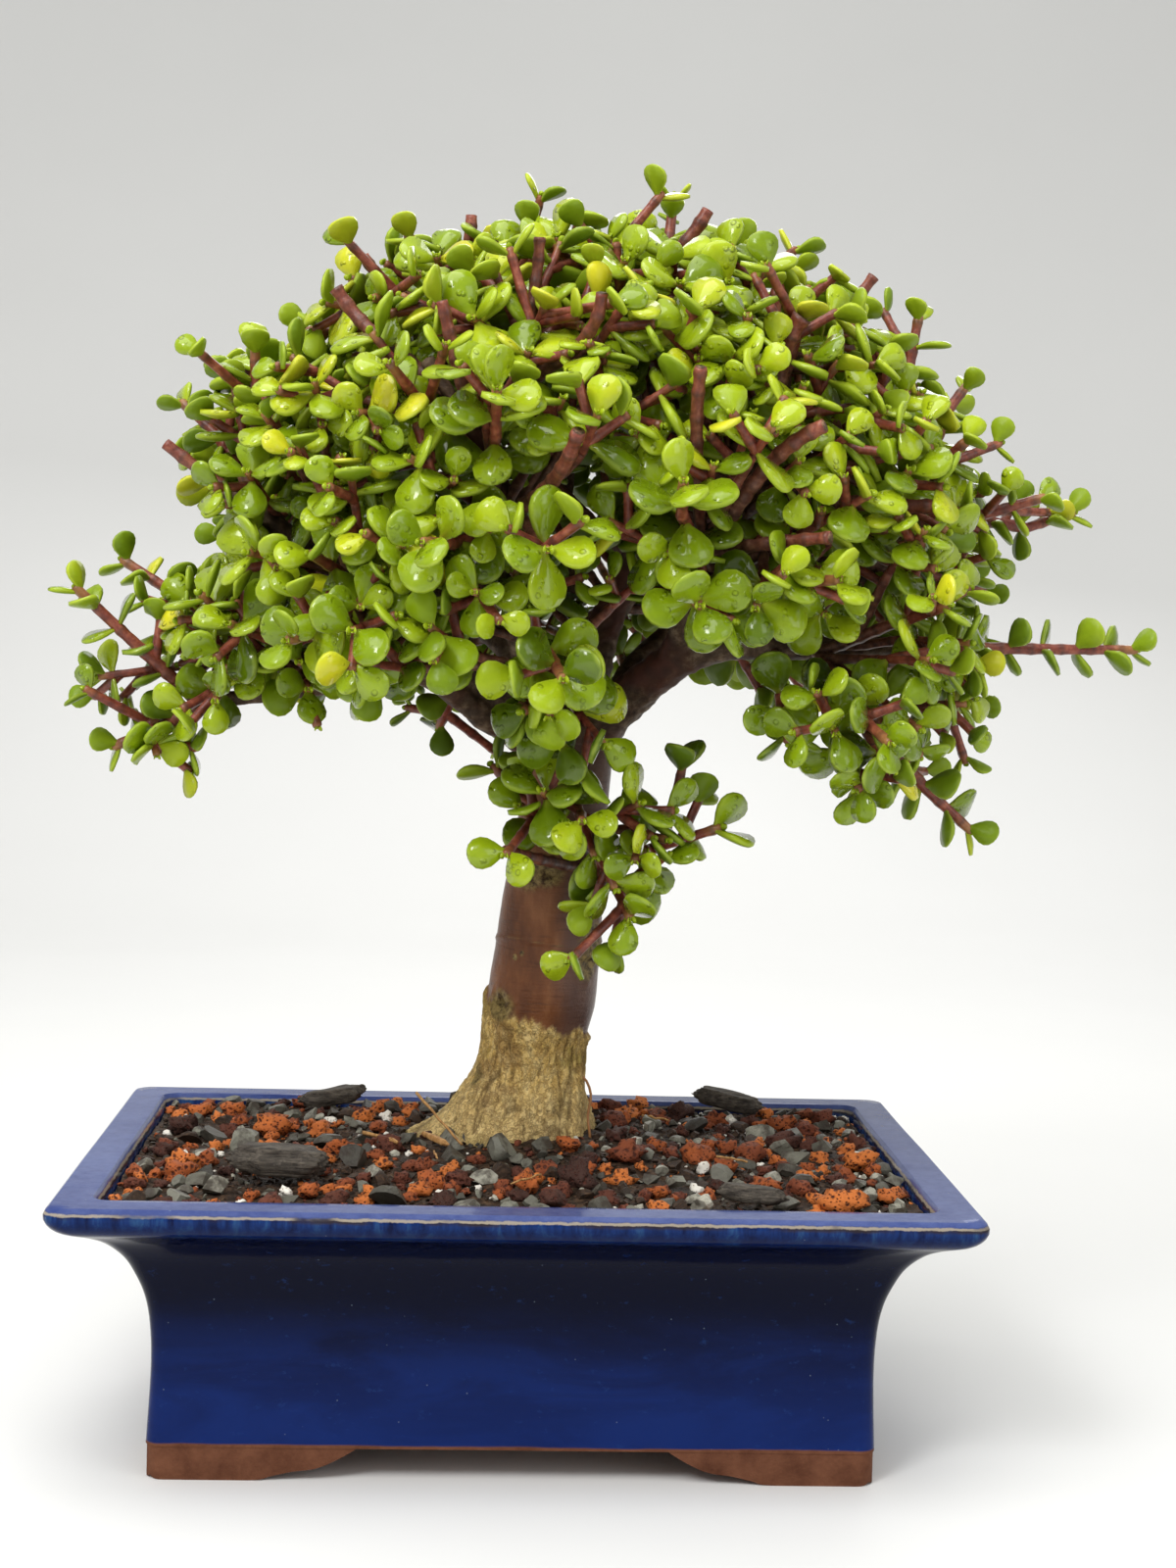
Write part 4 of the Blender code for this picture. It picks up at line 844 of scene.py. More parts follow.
# direction in degrees, reach beyond the trunk, and half width in degrees
ROOTS = ((186, 15.0, 24), (236, 5.0, 22), (318, 3.5, 20), (20, 4.5, 24), (95, 7.0, 26))
ROOT_TOP_Z, ROOT_BASE_Z, ROOT_SUNK, ROOT_CURVE = 0.108, 0.082, 1.12, 2.4
LIMBS = (
    # radius at the trunk and at the end, and the route
    (5.2, 2.1, (
        (12, 14, 194), (-8, 5, 205), (-28, -5, 219), (-45, -10, 222), (-61, -12, 216), (-83, -14, 212),
        (-95, -15, 211),
    )),
    (5.6, 2.6, (
        (12, 12, 198), (-12, 4, 216), (-26, -5, 231), (-48, -15, 245), (-71, -22, 260), (-88, -25, 271),
    )),
    (4.6, 2.3, (
        (12, 8, 198), (2, -4, 217), (-4, -18, 235), (-7, -32, 256), (-9, -40, 270), (-20, -50, 290),
        (-31, -50, 306),
    )),
    (8.8, 2.4, (
        (14, 16, 196), (30, 10, 214), (44, 0, 226), (60, -5, 231), (79, -8, 231), (99, -10, 232),
        (112, -10, 232),
    )),
    (7.6, 2.8, ((14, 18, 198), (20, 24, 226), (30, 25, 251), (35, 22, 274), (35, 18, 298), (37, 15, 320))),
    (4.2, 2.4, ((40, 4, 222), (48, -16, 245), (57, -32, 268), (65, -36, 290), (69, -32, 308))),
    (4.6, 2.4, ((44, 2, 226), (62, 4, 242), (87, 5, 254), (111, 8, 266), (126, 8, 271))),
    (5.0, 2.4, ((12, 20, 198), (-4, 36, 226), (-30, 50, 248), (-55, 54, 268), (-70, 52, 284))),
    (5.2, 2.4, ((18, 22, 202), (38, 42, 228), (62, 54, 250), (86, 56, 270), (102, 52, 288))),
    (5.0, 2.4, ((14, 24, 200), (14, 48, 226), (14, 64, 250), (12, 70, 278), (14, 62, 304))),
)
LIMB_SIDES, LIMB_STEP = 6, 0.027
SHOOTS = (
    # name, tip, heading there, pairs of leaves and leaf length
    ("low_left_rise", (-129, -20, 242), (-0.72, -0.1, 0.68), 5, 9.0),
    ("low_left_hang", (-119, -10, 197), (-0.80, 0.1, -0.60), 3, 9.5),
    ("mid_left", (-119, 0, 251), (-0.92, 0.0, 0.40), 4, 9.0),
    ("mid_left_back", (-96, 24, 232), (-0.92, 0.3, -0.1), 3, 9.5),
    ("front_left_low", (-65, -70, 229), (-0.60, -0.80, -0.05), 4, 12.0),
    ("left_crown", (-104, 10, 298), (-0.82, 0.0, 0.55), 4, 9.0),
    ("left_crown_front", (-80, -20, 311), (-0.70, -0.30, 0.65), 3, 10.0),
    ("front_crown_left", (-40, -70, 302), (-0.35, -0.75, 0.55), 3, 11.5),
    ("front_crown", (-12, -90, 294), (-0.05, -0.80, 0.60), 4, 13.0),
    ("front_mid_left", (-30, -88, 255), (-0.25, -0.95, 0.10), 4, 13.0),
    ("front_far_left", (-60, -62, 252), (-0.60, -0.75, 0.15), 3, 11.5),
    ("under_left", (-26, 18, 204), (-0.30, 0.1, -0.95), 2, 10.0),
    ("front_low", (7, -84, 221), (0.0, -0.97, -0.15), 4, 14.0),
    ("front_low_right", (42, -84, 241), (0.15, -0.97, 0.05), 4, 13.5),
    ("front_middle", (36, -94, 272), (0.05, -0.92, 0.35), 4, 13.0),
    ("front_right", (80, -74, 249), (0.45, -0.85, 0.10), 4, 11.5),
    ("low_right_front", (96, -66, 206), (0.45, -0.80, -0.35), 4, 12.0),
    ("low_right_hang", (130, -15, 179), (0.80, 0.0, -0.60), 4, 10.0),
    ("low_right", (136, 10, 216), (0.90, 0.2, -0.35), 3, 9.5),
    ("long_right", (178, -10, 233), (1.0, 0.0, 0.02), 6, 9.5),
    ("right_back", (142, 30, 250), (0.92, 0.35, -0.10), 4, 9.0),
    ("right_fork_high", (164, 15, 274), (0.70, 0.1, 0.70), 4, 9.0),
    ("right_fork_low", (150, -6, 277), (0.92, -0.1, 0.30), 3, 9.0),
    ("right_shoulder", (124, -22, 292), (0.80, -0.30, 0.50), 3, 9.5),
    ("right_crown_low", (130, 15, 311), (0.72, 0.1, 0.68), 3, 9.0),
    ("right_crown", (113, 5, 330), (0.60, 0.0, 0.80), 3, 9.0),
    ("crown_tip", (41, 28, 367), (0.12, 0.0, 1.0), 4, 7.0),
    ("trunk_sprout_right", (55, -28, 179), (0.95, -0.10, 0.30), 3, 12.5),
    ("trunk_sprout_low", (30, -30, 153), (0.45, -0.25, -0.85), 2, 13.0),
    ("trunk_sprout_left", (-2, -32, 184), (-0.55, -0.80, 0.35), 2, 13.0),
)
STUBS = (
    # tip, heading there and radius
    ((-104, -25, 283), (-0.80, 0.0, 0.60), 2.1), ((-57, -30, 327), (-0.55, -0.10, 0.82), 2.2),
    ((-51, 0, 341), (-0.50, 0.0, 0.86), 2.0), ((-20, -10, 352), (0.0, 0.0, 1.0), 2.1),
    ((-27, -62, 320), (-0.25, -0.20, 0.95), 2.0), ((-1, -42, 341), (0.0, -0.20, 0.98), 1.9),
    ((6, 10, 357), (0.05, 0.0, 1.0), 1.9), ((48, -10, 356), (0.45, -0.05, 0.88), 2.3),
    ((15, -72, 322), (0.0, -0.35, 0.93), 2.0), ((41, -78, 303), (0.05, -0.45, 0.89), 2.0),
    ((66, -30, 331), (0.0, -0.15, 0.98), 2.0), ((71, -48, 321), (0.55, -0.30, 0.78), 3.0),
    ((74, -77, 289), (0.80, -0.45, 0.35), 2.4), ((9, -93, 284), (0.20, -0.65, 0.72), 2.2),
    ((112, -46, 271), (0.90, -0.35, 0.05), 2.4), ((77, -74, 260), (0.80, -0.55, 0.05), 2.0),
    ((-6, -38, 172), (-0.50, -0.80, 0.20), 1.9), ((100, 10, 342), (0.55, 0.0, 0.83), 2.0),
)
# the crown's outline: a squarish dome over a shallow underside
CROWN_CENTRE, CROWN_REACH, CROWN_UNDERSIDE, CROWN_SQUARENESS = (16, 8, 230), (116, 86, 118), 26, 2.4
FILL_CANDIDATES, FILL_SPACING, FILL_PAIRS, FILL_LEAF = 260, 0.0444, 2, 0.0112
GOLDEN_ANGLE = math.pi * (3 - math.sqrt(5))
REACH_BACK, TIP_NEARNESS, BEND_SHARE = 0.045, 0.3, 0.36
ROUTE_STEP, STATION_STEP = 0.002, 0.020
# the step from pair to pair is for leaves of this length
PAIR_STEP, PAIR_LEAF, BARE_START, PAIR_GATHER = 0.0088, 0.0095, 0.0035, 0.92
TWIG_RADIUS, LONG_TWIG, STEM_RADIUS, STEM_TIP_RADIUS = 0.0023, 0.034, 0.0019, 0.0014
# how much bare twig stands outside its limb, where there is room and at the least
TWIG_ROOM, TWIG_LEAST = 0.005, 0.003
# side stems: a shoot with so many pairs of leaves has them at these shares of its leafy part
SIDE_SHARES = {2: (0.25, 0.65), 3: (0.42,)}
SIDE_TRIES, SIDE_REACH, SIDE_RADIUS, SIDE_LEAF = 8, 0.024, 0.0015, 0.9
TWIG_SIDES, STEM_SIDES = 4, 4
STEM_CLEARANCE, FIT_SIDES = 0.0006, 6
LEAF_ROOT, LEAF_THICK, LEAF_CLEARANCE = 0.0002, 0.26, 0.0002
LEAF_OUTLINE = ((0.0, 0.0), (0.42, 0.37), (0.84, 0.37), (1.03, 0.0))
LEAF_TURNS = (0, 24, -24, 48, -48, 75, -75)
LEAF_ANGLE_YOUNG, LEAF_ANGLE_OPENS, LEAF_ANGLE_PLAY = 42, 30, 7
TURN_TO_LIGHT, MOST_TURN_TO_LIGHT, LEAF_TWIST_PLAY = 0.35, 1.2, 0.35
SEED = 41
# each kind of draw starts from a seed of its own
LEAF_SEED, COAT_SEED, EXTRA_SEED, MORE_SEED, SPRAY_SEED, CROWN_SEED = (
    SEED + step for step in (1000, 5000, 7000, 9000, 11000, 13000)
)


def root_flare(angle, z):
    """How far the surface roots push the trunk out, in this direction at this height."""
    rise = held((ROOT_TOP_Z - z) / (ROOT_TOP_Z - ROOT_BASE_Z), high=ROOT_SUNK)
    reach = 0.0
    for direction, length, half_width in ROOTS:
        turn = (math.degrees(angle) - direction + 180) % 360 - 180
        reach += length * MM * math.exp(-((turn / half_width) ** 2))
    return reach * rise**ROOT_CURVE


def tangents(points):
    """The way a route runs at each of its points."""
    made = []
    for i in range(len(points)):
        before, after = points[max(i - 1, 0)], points[min(i + 1, len(points) - 1)]
        made.append((after - before).normalized())
    return made


def any_normal(direction):
    """A way square to this one."""
    side = Vector((0, 0, 1)) if abs(direction.z) < 0.85 else Vector((1, 0, 0))
    return direction.cross(side).normalized()


def swung(angle, first, second):
    """The way that lies this angle on from the first of two ways, towards the second."""
    return math.cos(angle) * first + math.sin(angle) * second


def ring_points(stations, sides):
    """Rings of points round stations of (point, direction, radius), with no twist from ring to ring."""
    normal = any_normal(stations[0][1])
    made = []
    for point, direction, radius in stations:
        normal = (normal - direction * normal.dot(direction)).normalized()
        across = direction.cross(normal)
        for side in range(sides):
            made.append(point + radius * swung(2 * math.pi * side / sides, normal, across))
    return made


def tube_shape(stations, sides):
    """Vertices and faces of a closed tube through these stations."""
    verts, faces = ring_points(stations, sides), []
    for ring in range(len(stations) - 1):
        low, high = ring * sides, (ring + 1) * sides
        for side in range(sides):
            after = (side + 1) % sides
            faces.append((low + side, low + after, high + after, high + side))
    faces.append(tuple(reversed(range(sides))))
    faces.append(tuple(range(len(verts) - sides, len(verts))))
    return verts, faces


def limb_stations(limb, step):
    """Stations of a limb, thinning towards its end."""
    start, end, points = limb
    route = even_curve([Vector(p) * MM for p in points], step)
    heading = tangents(route)
    stations = []
    for i, point in enumerate(route):
        share = i / (len(route) - 1)
        stations.append((point, heading[i], (start + (end - start) * share**0.8) * MM))
    return stations


def crown_point(direction, scale=1.0):
    """The point of the crown's outline in this direction from its middle."""
    reach = Vector(CROWN_REACH) * MM
    if direction.z < 0:
        reach.z = CROWN_UNDERSIDE * MM
    square = sum(abs(d) ** CROWN_SQUARENESS for d in direction) ** (1 / CROWN_SQUARENESS)
    return Vector(CROWN_CENTRE) * MM + Vector(d * r / square for d, r in zip(direction, reach)) * scale


def crown_heading(point):
    """The way the crown's surface faces at this point."""
    away = point - Vector(CROWN_CENTRE) * MM
    reach = Vector(CROWN_REACH) * MM
    faced = Vector(a / r**2 for a, r in zip(away, reach))
    return (faced.normalized() + Vector((0, 0, 0.15))).normalized()


def filling_tips(tips, candidates, spacing, scale=1.0, top=0.97, span=1.22):
    """Places on a golden-angle spiral over the crown, wherever no tip is near yet. They join the tips."""
    made = []
    for n in range(candidates):
        height = top - span * (n + 0.5) / candidates
        around = n * GOLDEN_ANGLE
        flat = math.sqrt(1 - height**2)
        tip = crown_point(Vector((flat * math.cos(around), flat * math.sin(around), height)), scale)
        if min((tip - other).length for other in tips) < spacing:
            continue
        tips.append(tip)
        made.append(tip)
    return made


def wood_samples():
    """Places along the trunk and the limbs that a shoot can grow from, with the wood's radius there."""
    samples = [(Vector((x, y, z)) * MM, radius * MM) for x, y, z, radius in TRUNK_RINGS[SPROUTING_RINGS]]
    for limb in LIMBS:
        stations = limb_stations(limb, LIMB_STEP)
        for (a, _, radius_a), (b, _, radius_b) in zip(stations[1:], stations[2:]):
            for k in range(6):
                samples.append((a.lerp(b, k / 5), radius_a + (radius_b - radius_a) * k / 5))
    return samples


def grown_route(tip, heading, samples):
    """A curve from the best place on the wood to the tip, and the wood's radius where it starts."""
    wanted = tip - heading * REACH_BACK
    start, radius = min(samples, key=lambda s: (s[0] - wanted).length + TIP_NEARNESS * (s[0] - tip).length)
    span = (tip - start).length
    bend_a = start + (tip - start) * BEND_SHARE
    bend_b = tip - heading * span * BEND_SHARE
    curve = []
    for k in range(11):
        t = k / 10
        u = 1 - t
        curve.append(u**3 * start + 3 * u * u * t * bend_a + 3 * u * t * t * bend_b + t**3 * tip)
    return even_curve(curve, ROUTE_STEP), radius


def bent(route, first, push):
    """The route with everything past its first points pushed sideways, more towards the tip."""
    count = len(route) - 1 - first
    return [
        point if i <= first else point + push * ((i - first) / count) ** 1.2
        for i, point in enumerate(route)
    ]


class Stem:
    """A leafy stem: its route, the place on it where leaves begin, and its radius there."""

    def __init__(self, route, first, pairs, leaf, radius, gather=PAIR_GATHER, open_angle=LEAF_ANGLE_YOUNG):
        self.first, self.pairs, self.leaf, self.radius = first, pairs, leaf, radius
        self.gather, self.open_angle = gather, open_angle
        self.follow(route)

    def picks(self):
        """Which points of the route are its stations."""
        last = len(self.route) - 1
        count = max(1, round((last - self.first) * ROUTE_STEP / STATION_STEP))
        return [round(self.first + (last - self.first) * k / count) for k in range(count + 1)]

    def follow(self, route):
        """Takes this route, with its leafy part straight from one station to the next."""
        self.route = list(route)
        picks = self.picks()
        for low, high in zip(picks, picks[1:]):
            for i in range(low, high):
                self.route[i] = route[low].lerp(route[high], (i - low) / (high - low))

    def stations(self, grow=0.0):
        """The leafy part's stations, thicker by this much."""
        heading = tangents(self.route)
        last = len(self.route) - 1
        made = []
        for i in self.picks():
            share = (i - self.first) / (last - self.first)
            end = min(STEM_TIP_RADIUS, self.radius)
            made.append((self.route[i], heading[i], self.radius + (end - self.radius) * share + grow))
        return made

    def leaf_places(self, draw):
        """Opposite pairs, each a quarter turn on: root, stem's way, leaf's way, its face and its length."""
        heading = tangents(self.route)
        last = len(self.route) - 1
        length = (last - self.first) * ROUTE_STEP - BARE_START
        normal = any_normal(heading[self.first])
        turn = draw.uniform(0, math.pi)
        places = []
        for pair in range(self.pairs):
            older = (self.pairs - 1 - pair) / max(self.pairs - 1, 1)
            along = BARE_START + length * (1 - (0.02 + 0.98 * older)) ** self.gather
            i = min(self.first + round(along / ROUTE_STEP), last - 1)
            direction = heading[i]
            normal = (normal - direction * normal.dot(direction)).normalized()
            spread = self.open_angle + LEAF_ANGLE_OPENS * min(1.0, older * 2.2)
            spread = math.radians(spread + draw.uniform(-LEAF_ANGLE_PLAY, LEAF_ANGLE_PLAY))
            size = self.leaf * (0.80 + 0.20 * min(1.0, older * 2.6)) * draw.uniform(0.9, 1.08)
            for side in (0, math.pi):
                around = turn + pair * math.pi / 2 + side + math.radians(draw.uniform(-10, 10))
                out = swung(around, normal, direction.cross(normal))
                axis = swung(spread, direction, out)
                face = math.sin(spread) * direction - math.cos(spread) * out
                across = face.cross(axis)
                to_light = held(math.atan2(across.z, face.z), -MOST_TURN_TO_LIGHT, MOST_TURN_TO_LIGHT)
                twist = TURN_TO_LIGHT * to_light + draw.uniform(-LEAF_TWIST_PLAY, LEAF_TWIST_PLAY)
                places.append((self.route[i], direction, axis, swung(twist, face, across), size))
        return places


class Shoot:
    """A leafy main stem with its side stems, and the woody twig that carries it."""

    def __init__(self, name, tip, heading, pairs, leaf, samples, pair_step=PAIR_STEP):
        self.name = name
        route, wood = grown_route(tip, heading, samples)
        room = ROUTE_STEP * (len(route) - 1) - wood - TWIG_ROOM
        leafy = min(BARE_START + pair_step * leaf / PAIR_LEAF * (pairs - 0.6), room)
        first = max(len(route) - 1 - round(leafy / ROUTE_STEP), math.ceil((wood + TWIG_LEAST) / ROUTE_STEP))
        self.main = Stem(route, first, pairs, leaf, STEM_RADIUS)
        self.sides = []
        self.leaves = []

    def twig(self):
        """Stations of the woody part, from inside the limb to the end that carries the leafy stem."""
        route, first = self.main.route, self.main.first
        heading = tangents(route)
        picks = sorted({0, first // 2, first}) if first * ROUTE_STEP > LONG_TWIG else [0, first]
        return [(route[i], heading[i], TWIG_RADIUS + (STEM_RADIUS - TWIG_RADIUS) * i / first) for i in picks]

    def forks(self):
        """Places on the twig that later shoots can fork from."""
        route, first = self.main.route, self.main.first
        return [(route[i], TWIG_RADIUS) for i in range(first // 4, first - 3, 2)]

    def side_stem(self, share, around, leaf, reach):
        """A short side stem that leaves the main one at this share of its leafy length."""
        route, first = self.main.route, self.main.first
        i = round(first + (len(route) - 1 - first) * share)
        direction = tangents(route)[i]
        normal = any_normal(direction)
        out = swung(around, normal, direction.cross(normal))
        tip = route[i] + (direction * 0.62 + out * 0.9 + Vector((0, 0, 0.15))).normalized() * reach
        curve = even_curve([route[i], (route[i] + tip) / 2 + out * 0.001, tip], ROUTE_STEP)
        return Stem(curve, 0, 1, leaf, SIDE_RADIUS, self.main.gather, self.main.open_angle)


def leaf_shape(place, turned, grow=0.0):
    """Vertices and faces of the plain leaf that tells how much room a leaf needs."""
    point, direction, axis, face, size = place
    turn = Matrix.Rotation(math.radians(turned), 3, direction)
    axis, face = turn @ axis, turn @ face
    across = face.cross(axis)
    root = point + axis * LEAF_ROOT
    length = size + STEM_RADIUS
    rim = [root - axis * grow]
    rim += [root + axis * u * length + across * (w * length + grow) for u, w in LEAF_OUTLINE[1:]]
    rim += [root + axis * u * length - across * (w * length + grow) for u, w in reversed(LEAF_OUTLINE[1:-1])]
    middle = root + axis * 0.62 * length
    top = middle + face * (LEAF_THICK * 0.42 * size + grow)
    under = middle - face * (LEAF_THICK * 0.62 * size + grow)
    count = len(rim)
    faces = [(i, count, (i + 1) % count) for i in range(count)]
    faces += [(i, (i + 1) % count, count + 1) for i in range(count)]
    return rim + [top, under], faces


class Space:
    """What has grown so far, kept in cells, to ask whether a new shape would run into it."""

    CELL = 0.02

    def __init__(self):
        self.cells = {}

    def around(self, verts):
        """The cells that these points reach."""
        low = [math.floor(min(v[k] for v in verts) / self.CELL) for k in range(3)]
        high = [math.floor(max(v[k] for v in verts) / self.CELL) for k in range(3)]
        return [
            (i, j, k)
            for i in range(low[0], high[0] + 1)
            for j in range(low[1], high[1] + 1)
            for k in range(low[2], high[2] + 1)
        ]

    def add(self, owner, verts, faces):
        entry = (owner, BVHTree.FromPolygons(verts, faces))
        for cell in self.around(verts):
            self.cells.setdefault(cell, []).append(entry)

    def add_tube(self, owner, stations, sides):
        """Adds a tube, one stretch at a time."""
        for before, after in zip(stations, stations[1:]):
            self.add(owner, *tube_shape([before, after], sides))

    def meets(self, verts, faces, but=()):
        """Whether a shape runs into anything but what these owners grew."""
        tree, seen = BVHTree.FromPolygons(verts, faces), set()
        for cell in self.around(verts):
            for entry in self.cells.get(cell, ()):
                if entry[0] in but or id(entry) in seen:
                    continue
                seen.add(id(entry))
                if tree.overlap(entry[1]):
                    return True
        return False

    def has_room(self, stations, but):
        """Whether a tube, with a little clearance, runs into nothing."""
        return not any(
            self.meets(*tube_shape([before, after], FIT_SIDES), but=but)
            for before, after in zip(stations, stations[1:])
        )


def pushes(route, first, sizes, ways):
    """Sideways pushes of the tip to try, smallest first."""
    heading = (route[-1] - route[first]).normalized()
    side = any_normal(heading)
    other = heading.cross(side)
    made = [Vector((0, 0, 0))]
    for size in sizes:
        for k in range(ways):
            angle = k * 2 * math.pi / ways
            made.append(size * swung(angle, side, other))
    return made


def claim(shoot, space):
    """Takes up the room of a shoot's wood and of its leafy stem."""
    space.add_tube(shoot.name, shoot.twig(), TWIG_SIDES)
    space.add_tube(shoot.name, shoot.main.stations(), STEM_SIDES)


def find_way(shoot, space, delays=(0, 2, 4, 6, 8), sizes=(0.004, 0.008, 0.012, 0.017), ways=8):
    """Bends the leafy stem clear of the rest, letting its wood reach further where that helps."""
    stem = shoot.main
    straight, start = stem.route, stem.first
    for delay in delays:
        stem.first = start + delay
        if len(straight) - stem.first < 4:
            break
        for push in pushes(straight, stem.first, sizes, ways):
            stem.follow(bent(straight, stem.first, push))
            if space.has_room(stem.stations(grow=STEM_CLEARANCE), (shoot.name,)):
                return True
    return False


def put_out_sides(shoot, space, draw, shares, reach=SIDE_REACH):
    """Grows side stems at these shares of the leafy part, where there is room."""
    for share in shares:
        for _ in range(SIDE_TRIES):
            side = shoot.side_stem(share, draw.uniform(0, 2 * math.pi), shoot.main.leaf * SIDE_LEAF, reach)
            if space.has_room(side.stations(grow=STEM_CLEARANCE), (shoot.name,)):
                shoot.sides.append(side)
                space.add_tube(shoot.name, side.stations(), STEM_SIDES)
                break


def put_out_leaves(shoot, space, draw, stems):
    """Grows the leaves of these stems, each turned round its stem until it has room."""
    for stem in stems:
        for place in stem.leaf_places(draw):
            for turned in LEAF_TURNS:
                shape = leaf_shape(place, turned, LEAF_CLEARANCE)
                if not space.meets(*shape, but=(shoot.name,)):
                    space.add(shoot.name + "_leaf", *shape)
                    shoot.leaves.append((place, turned))
                    break


samples = wood_samples()
limbs = [limb_stations(limb, LIMB_STEP) for limb in LIMBS]
wanted = [
    (name, Vector(tip) * MM, Vector(heading).normalized(), pairs, leaf * MM)
    for name, tip, heading, pairs, leaf in SHOOTS
]
tips = [Vector(shoot[1]) * MM for shoot in SHOOTS]
for number, tip in enumerate(filling_tips(tips, FILL_CANDIDATES, FILL_SPACING)):
    wanted.append(("crown_fill_%02d" % (number + 1), tip, crown_heading(tip), FILL_PAIRS, FILL_LEAF))
shoots = []
for want in wanted:
    shoots.append(Shoot(*want, samples))
    samples += shoots[-1].forks()
stubs = []
for tip, heading, radius in STUBS:
    route, _ = grown_route(Vector(tip) * MM, Vector(heading).normalized(), samples)
    stubs.append((route, radius * MM))
space = Space()
for stations in limbs:
    space.add_tube("wood", stations, LIMB_SIDES)
for route, radius in stubs:
    heading = tangents(route)
    picks = [0, len(route) // 2, len(route) - 1]
    stations = [(route[i], heading[i], radius * (1.12 - 0.12 * i / len(route))) for i in picks]
    space.add_tube("wood", stations, LIMB_SIDES)
for shoot in shoots:
    space.add_tube(shoot.name, shoot.twig(), TWIG_SIDES)
for shoot in shoots:
    find_way(shoot, space)
    claim(shoot, space)
for number, shoot in enumerate(shoots):
    shares = SIDE_SHARES.get(shoot.main.pairs, ())
    put_out_sides(shoot, space, random.Random(SEED + number), shares)
for number, shoot in enumerate(shoots):
    put_out_leaves(shoot, space, random.Random(LEAF_SEED + number), [shoot.main] + shoot.sides)


# Between the shoots that the solids show, the rest of the crown is filled: an outer coat of shoots, and two
# inner ones that close the gaps behind it. Each forks from the nearest wood and keeps clear of what is there.
# None grows where the photograph looks under the crown at the fork and the right limb, or past its sides.
COATS = (
    # scale of the crown, spacing of the tips, candidates, pairs and leaf length
    (1.0, 0.0168, 1500, 3, 0.0122),
    (0.84, 0.0190, 1100, 3, 0.0118),
    (0.64, 0.0240, 600, 2, 0.0112),
)
EXTRA_SHARES = (0.22, 0.62)
EXTRA_REACH, EXTRA_PAIR_STEP, EXTRA_SLIM = 0.013, 0.0060, 0.68
NAMED_SLIM = 0.84
EXTRA_GATHER, EXTRA_OPEN_ANGLE = 0.50, 56
FRONT_ROSETTES = (
    # tip, heading there, pairs of leaves and leaf length: the shoots that hang before the top of the trunk
    ((8, -54, 215), (0.05, -0.95, -0.15), 2, 15.0), ((3, -60, 226), (-0.15, -0.90, 0.35), 2, 14.0),
    ((20, -46, 203), (0.55, -0.55, -0.60), 2, 14.5), ((4, -40, 189), (-0.25, -0.85, 0.30), 3, 13.5),
    ((9, -40, 179), (0.10, -0.80, -0.45), 2, 12.5), ((31, -38, 186), (0.55, -0.75, 0.25), 2, 13.0),
    ((41, -34, 176), (0.60, -0.60, -0.30), 2, 12.0), ((19, -37, 171), (0.10, -0.75, -0.60), 2, 12.0),
    ((25, -36, 162), (0.45, -0.40, -0.80), 3, 12.0),
    # and those that face the viewer on the front of the crown
    ((42, -88, 242), (0.0, -0.95, 0.10), 2, 15.0), ((-30, -82, 257), (-0.20, -0.95, 0.20), 2, 13.5),
    ((-16, -82, 295), (-0.10, -0.80, 0.55), 2, 13.5), ((37, -90, 272), (0.10, -0.85, 0.45), 2, 14.5),
    ((80, -78, 248), (0.45, -0.80, 0.10), 2, 13.5), ((14, -86, 289), (0.0, -0.80, 0.55), 2, 13.5),
    ((60, -80, 288), (0.30, -0.75, 0.50), 2, 13.0), ((2, -90, 254), (-0.05, -0.95, 0.20), 2, 14.5),
    ((22, -62, 322), (0.0, -0.60, 0.80), 2, 12.5), ((-48, -74, 232), (-0.35, -0.90, 0.05), 2, 14.0),
    # and those that clothe the low limb on the left and hang under the one on the right
    ((-123, -14, 217), (-0.75, -0.30, -0.10), 3, 9.5), ((-112, -16, 199), (-0.45, -0.40, -0.80), 3, 9.5),
    ((-88, -22, 205), (-0.15, -0.55, -0.80), 2, 11.0), ((-63, -24, 212), (0.05, -0.75, -0.60), 2, 12.0),
    ((-81, -24, 223), (-0.20, -0.60, 0.70), 3, 9.5), ((-91, -14, 232), (-0.30, -0.40, 0.85), 3, 9.0),
    ((-65, -30, 223), (-0.10, -0.90, 0.25), 2, 12.0), ((-103, -20, 218), (-0.30, -0.70, 0.55), 2, 9.5),
    ((82, -62, 208), (0.10, -0.90, -0.35), 2, 12.5), ((109, -40, 209), (0.50, -0.70, -0.40), 3, 11.0),
    ((92, -48, 190), (0.30, -0.60, -0.70), 3, 11.5), ((68, -52, 213), (-0.10, -0.80, -0.50), 2, 12.0),
    ((99, -54, 198), (0.30, -0.85, -0.30), 2, 12.5), ((126, -20, 216), (0.80, -0.40, 0.10), 3, 9.5),
)
OPEN_VIEWS = (
    # left, right, bottom and top of each view, in a plane through the trunk
    (-34, 8, 196, 226), (8, 72, 196, 232), (-20, 60, 228, 247), (60, 116, 222, 234), (20, 32, 246, 262),
    (-15, -2, 219, 234), (-120, -86, 250, 272), (104, 150, 236, 256),
)
OPEN_VIEW_Y, BEHIND_VIEW = 0.008, 0.03
# how much further a shoot's wood may reach, how far its tip may be bent aside, and in how many directions
ROSETTE_WAYS = ((0, 2, 4, 6), (0.004, 0.008, 0.012), 8)
COAT_WAYS = ((0, 2), (0.004, 0.008), 6)
# where a coat starts at the top and how far down it runs, how far headings stray, and forks for later shoots
COAT_TOP, COAT_SPAN, STRAY, EXTRA_FORKS = 0.985, 1.30, 0.25, 3


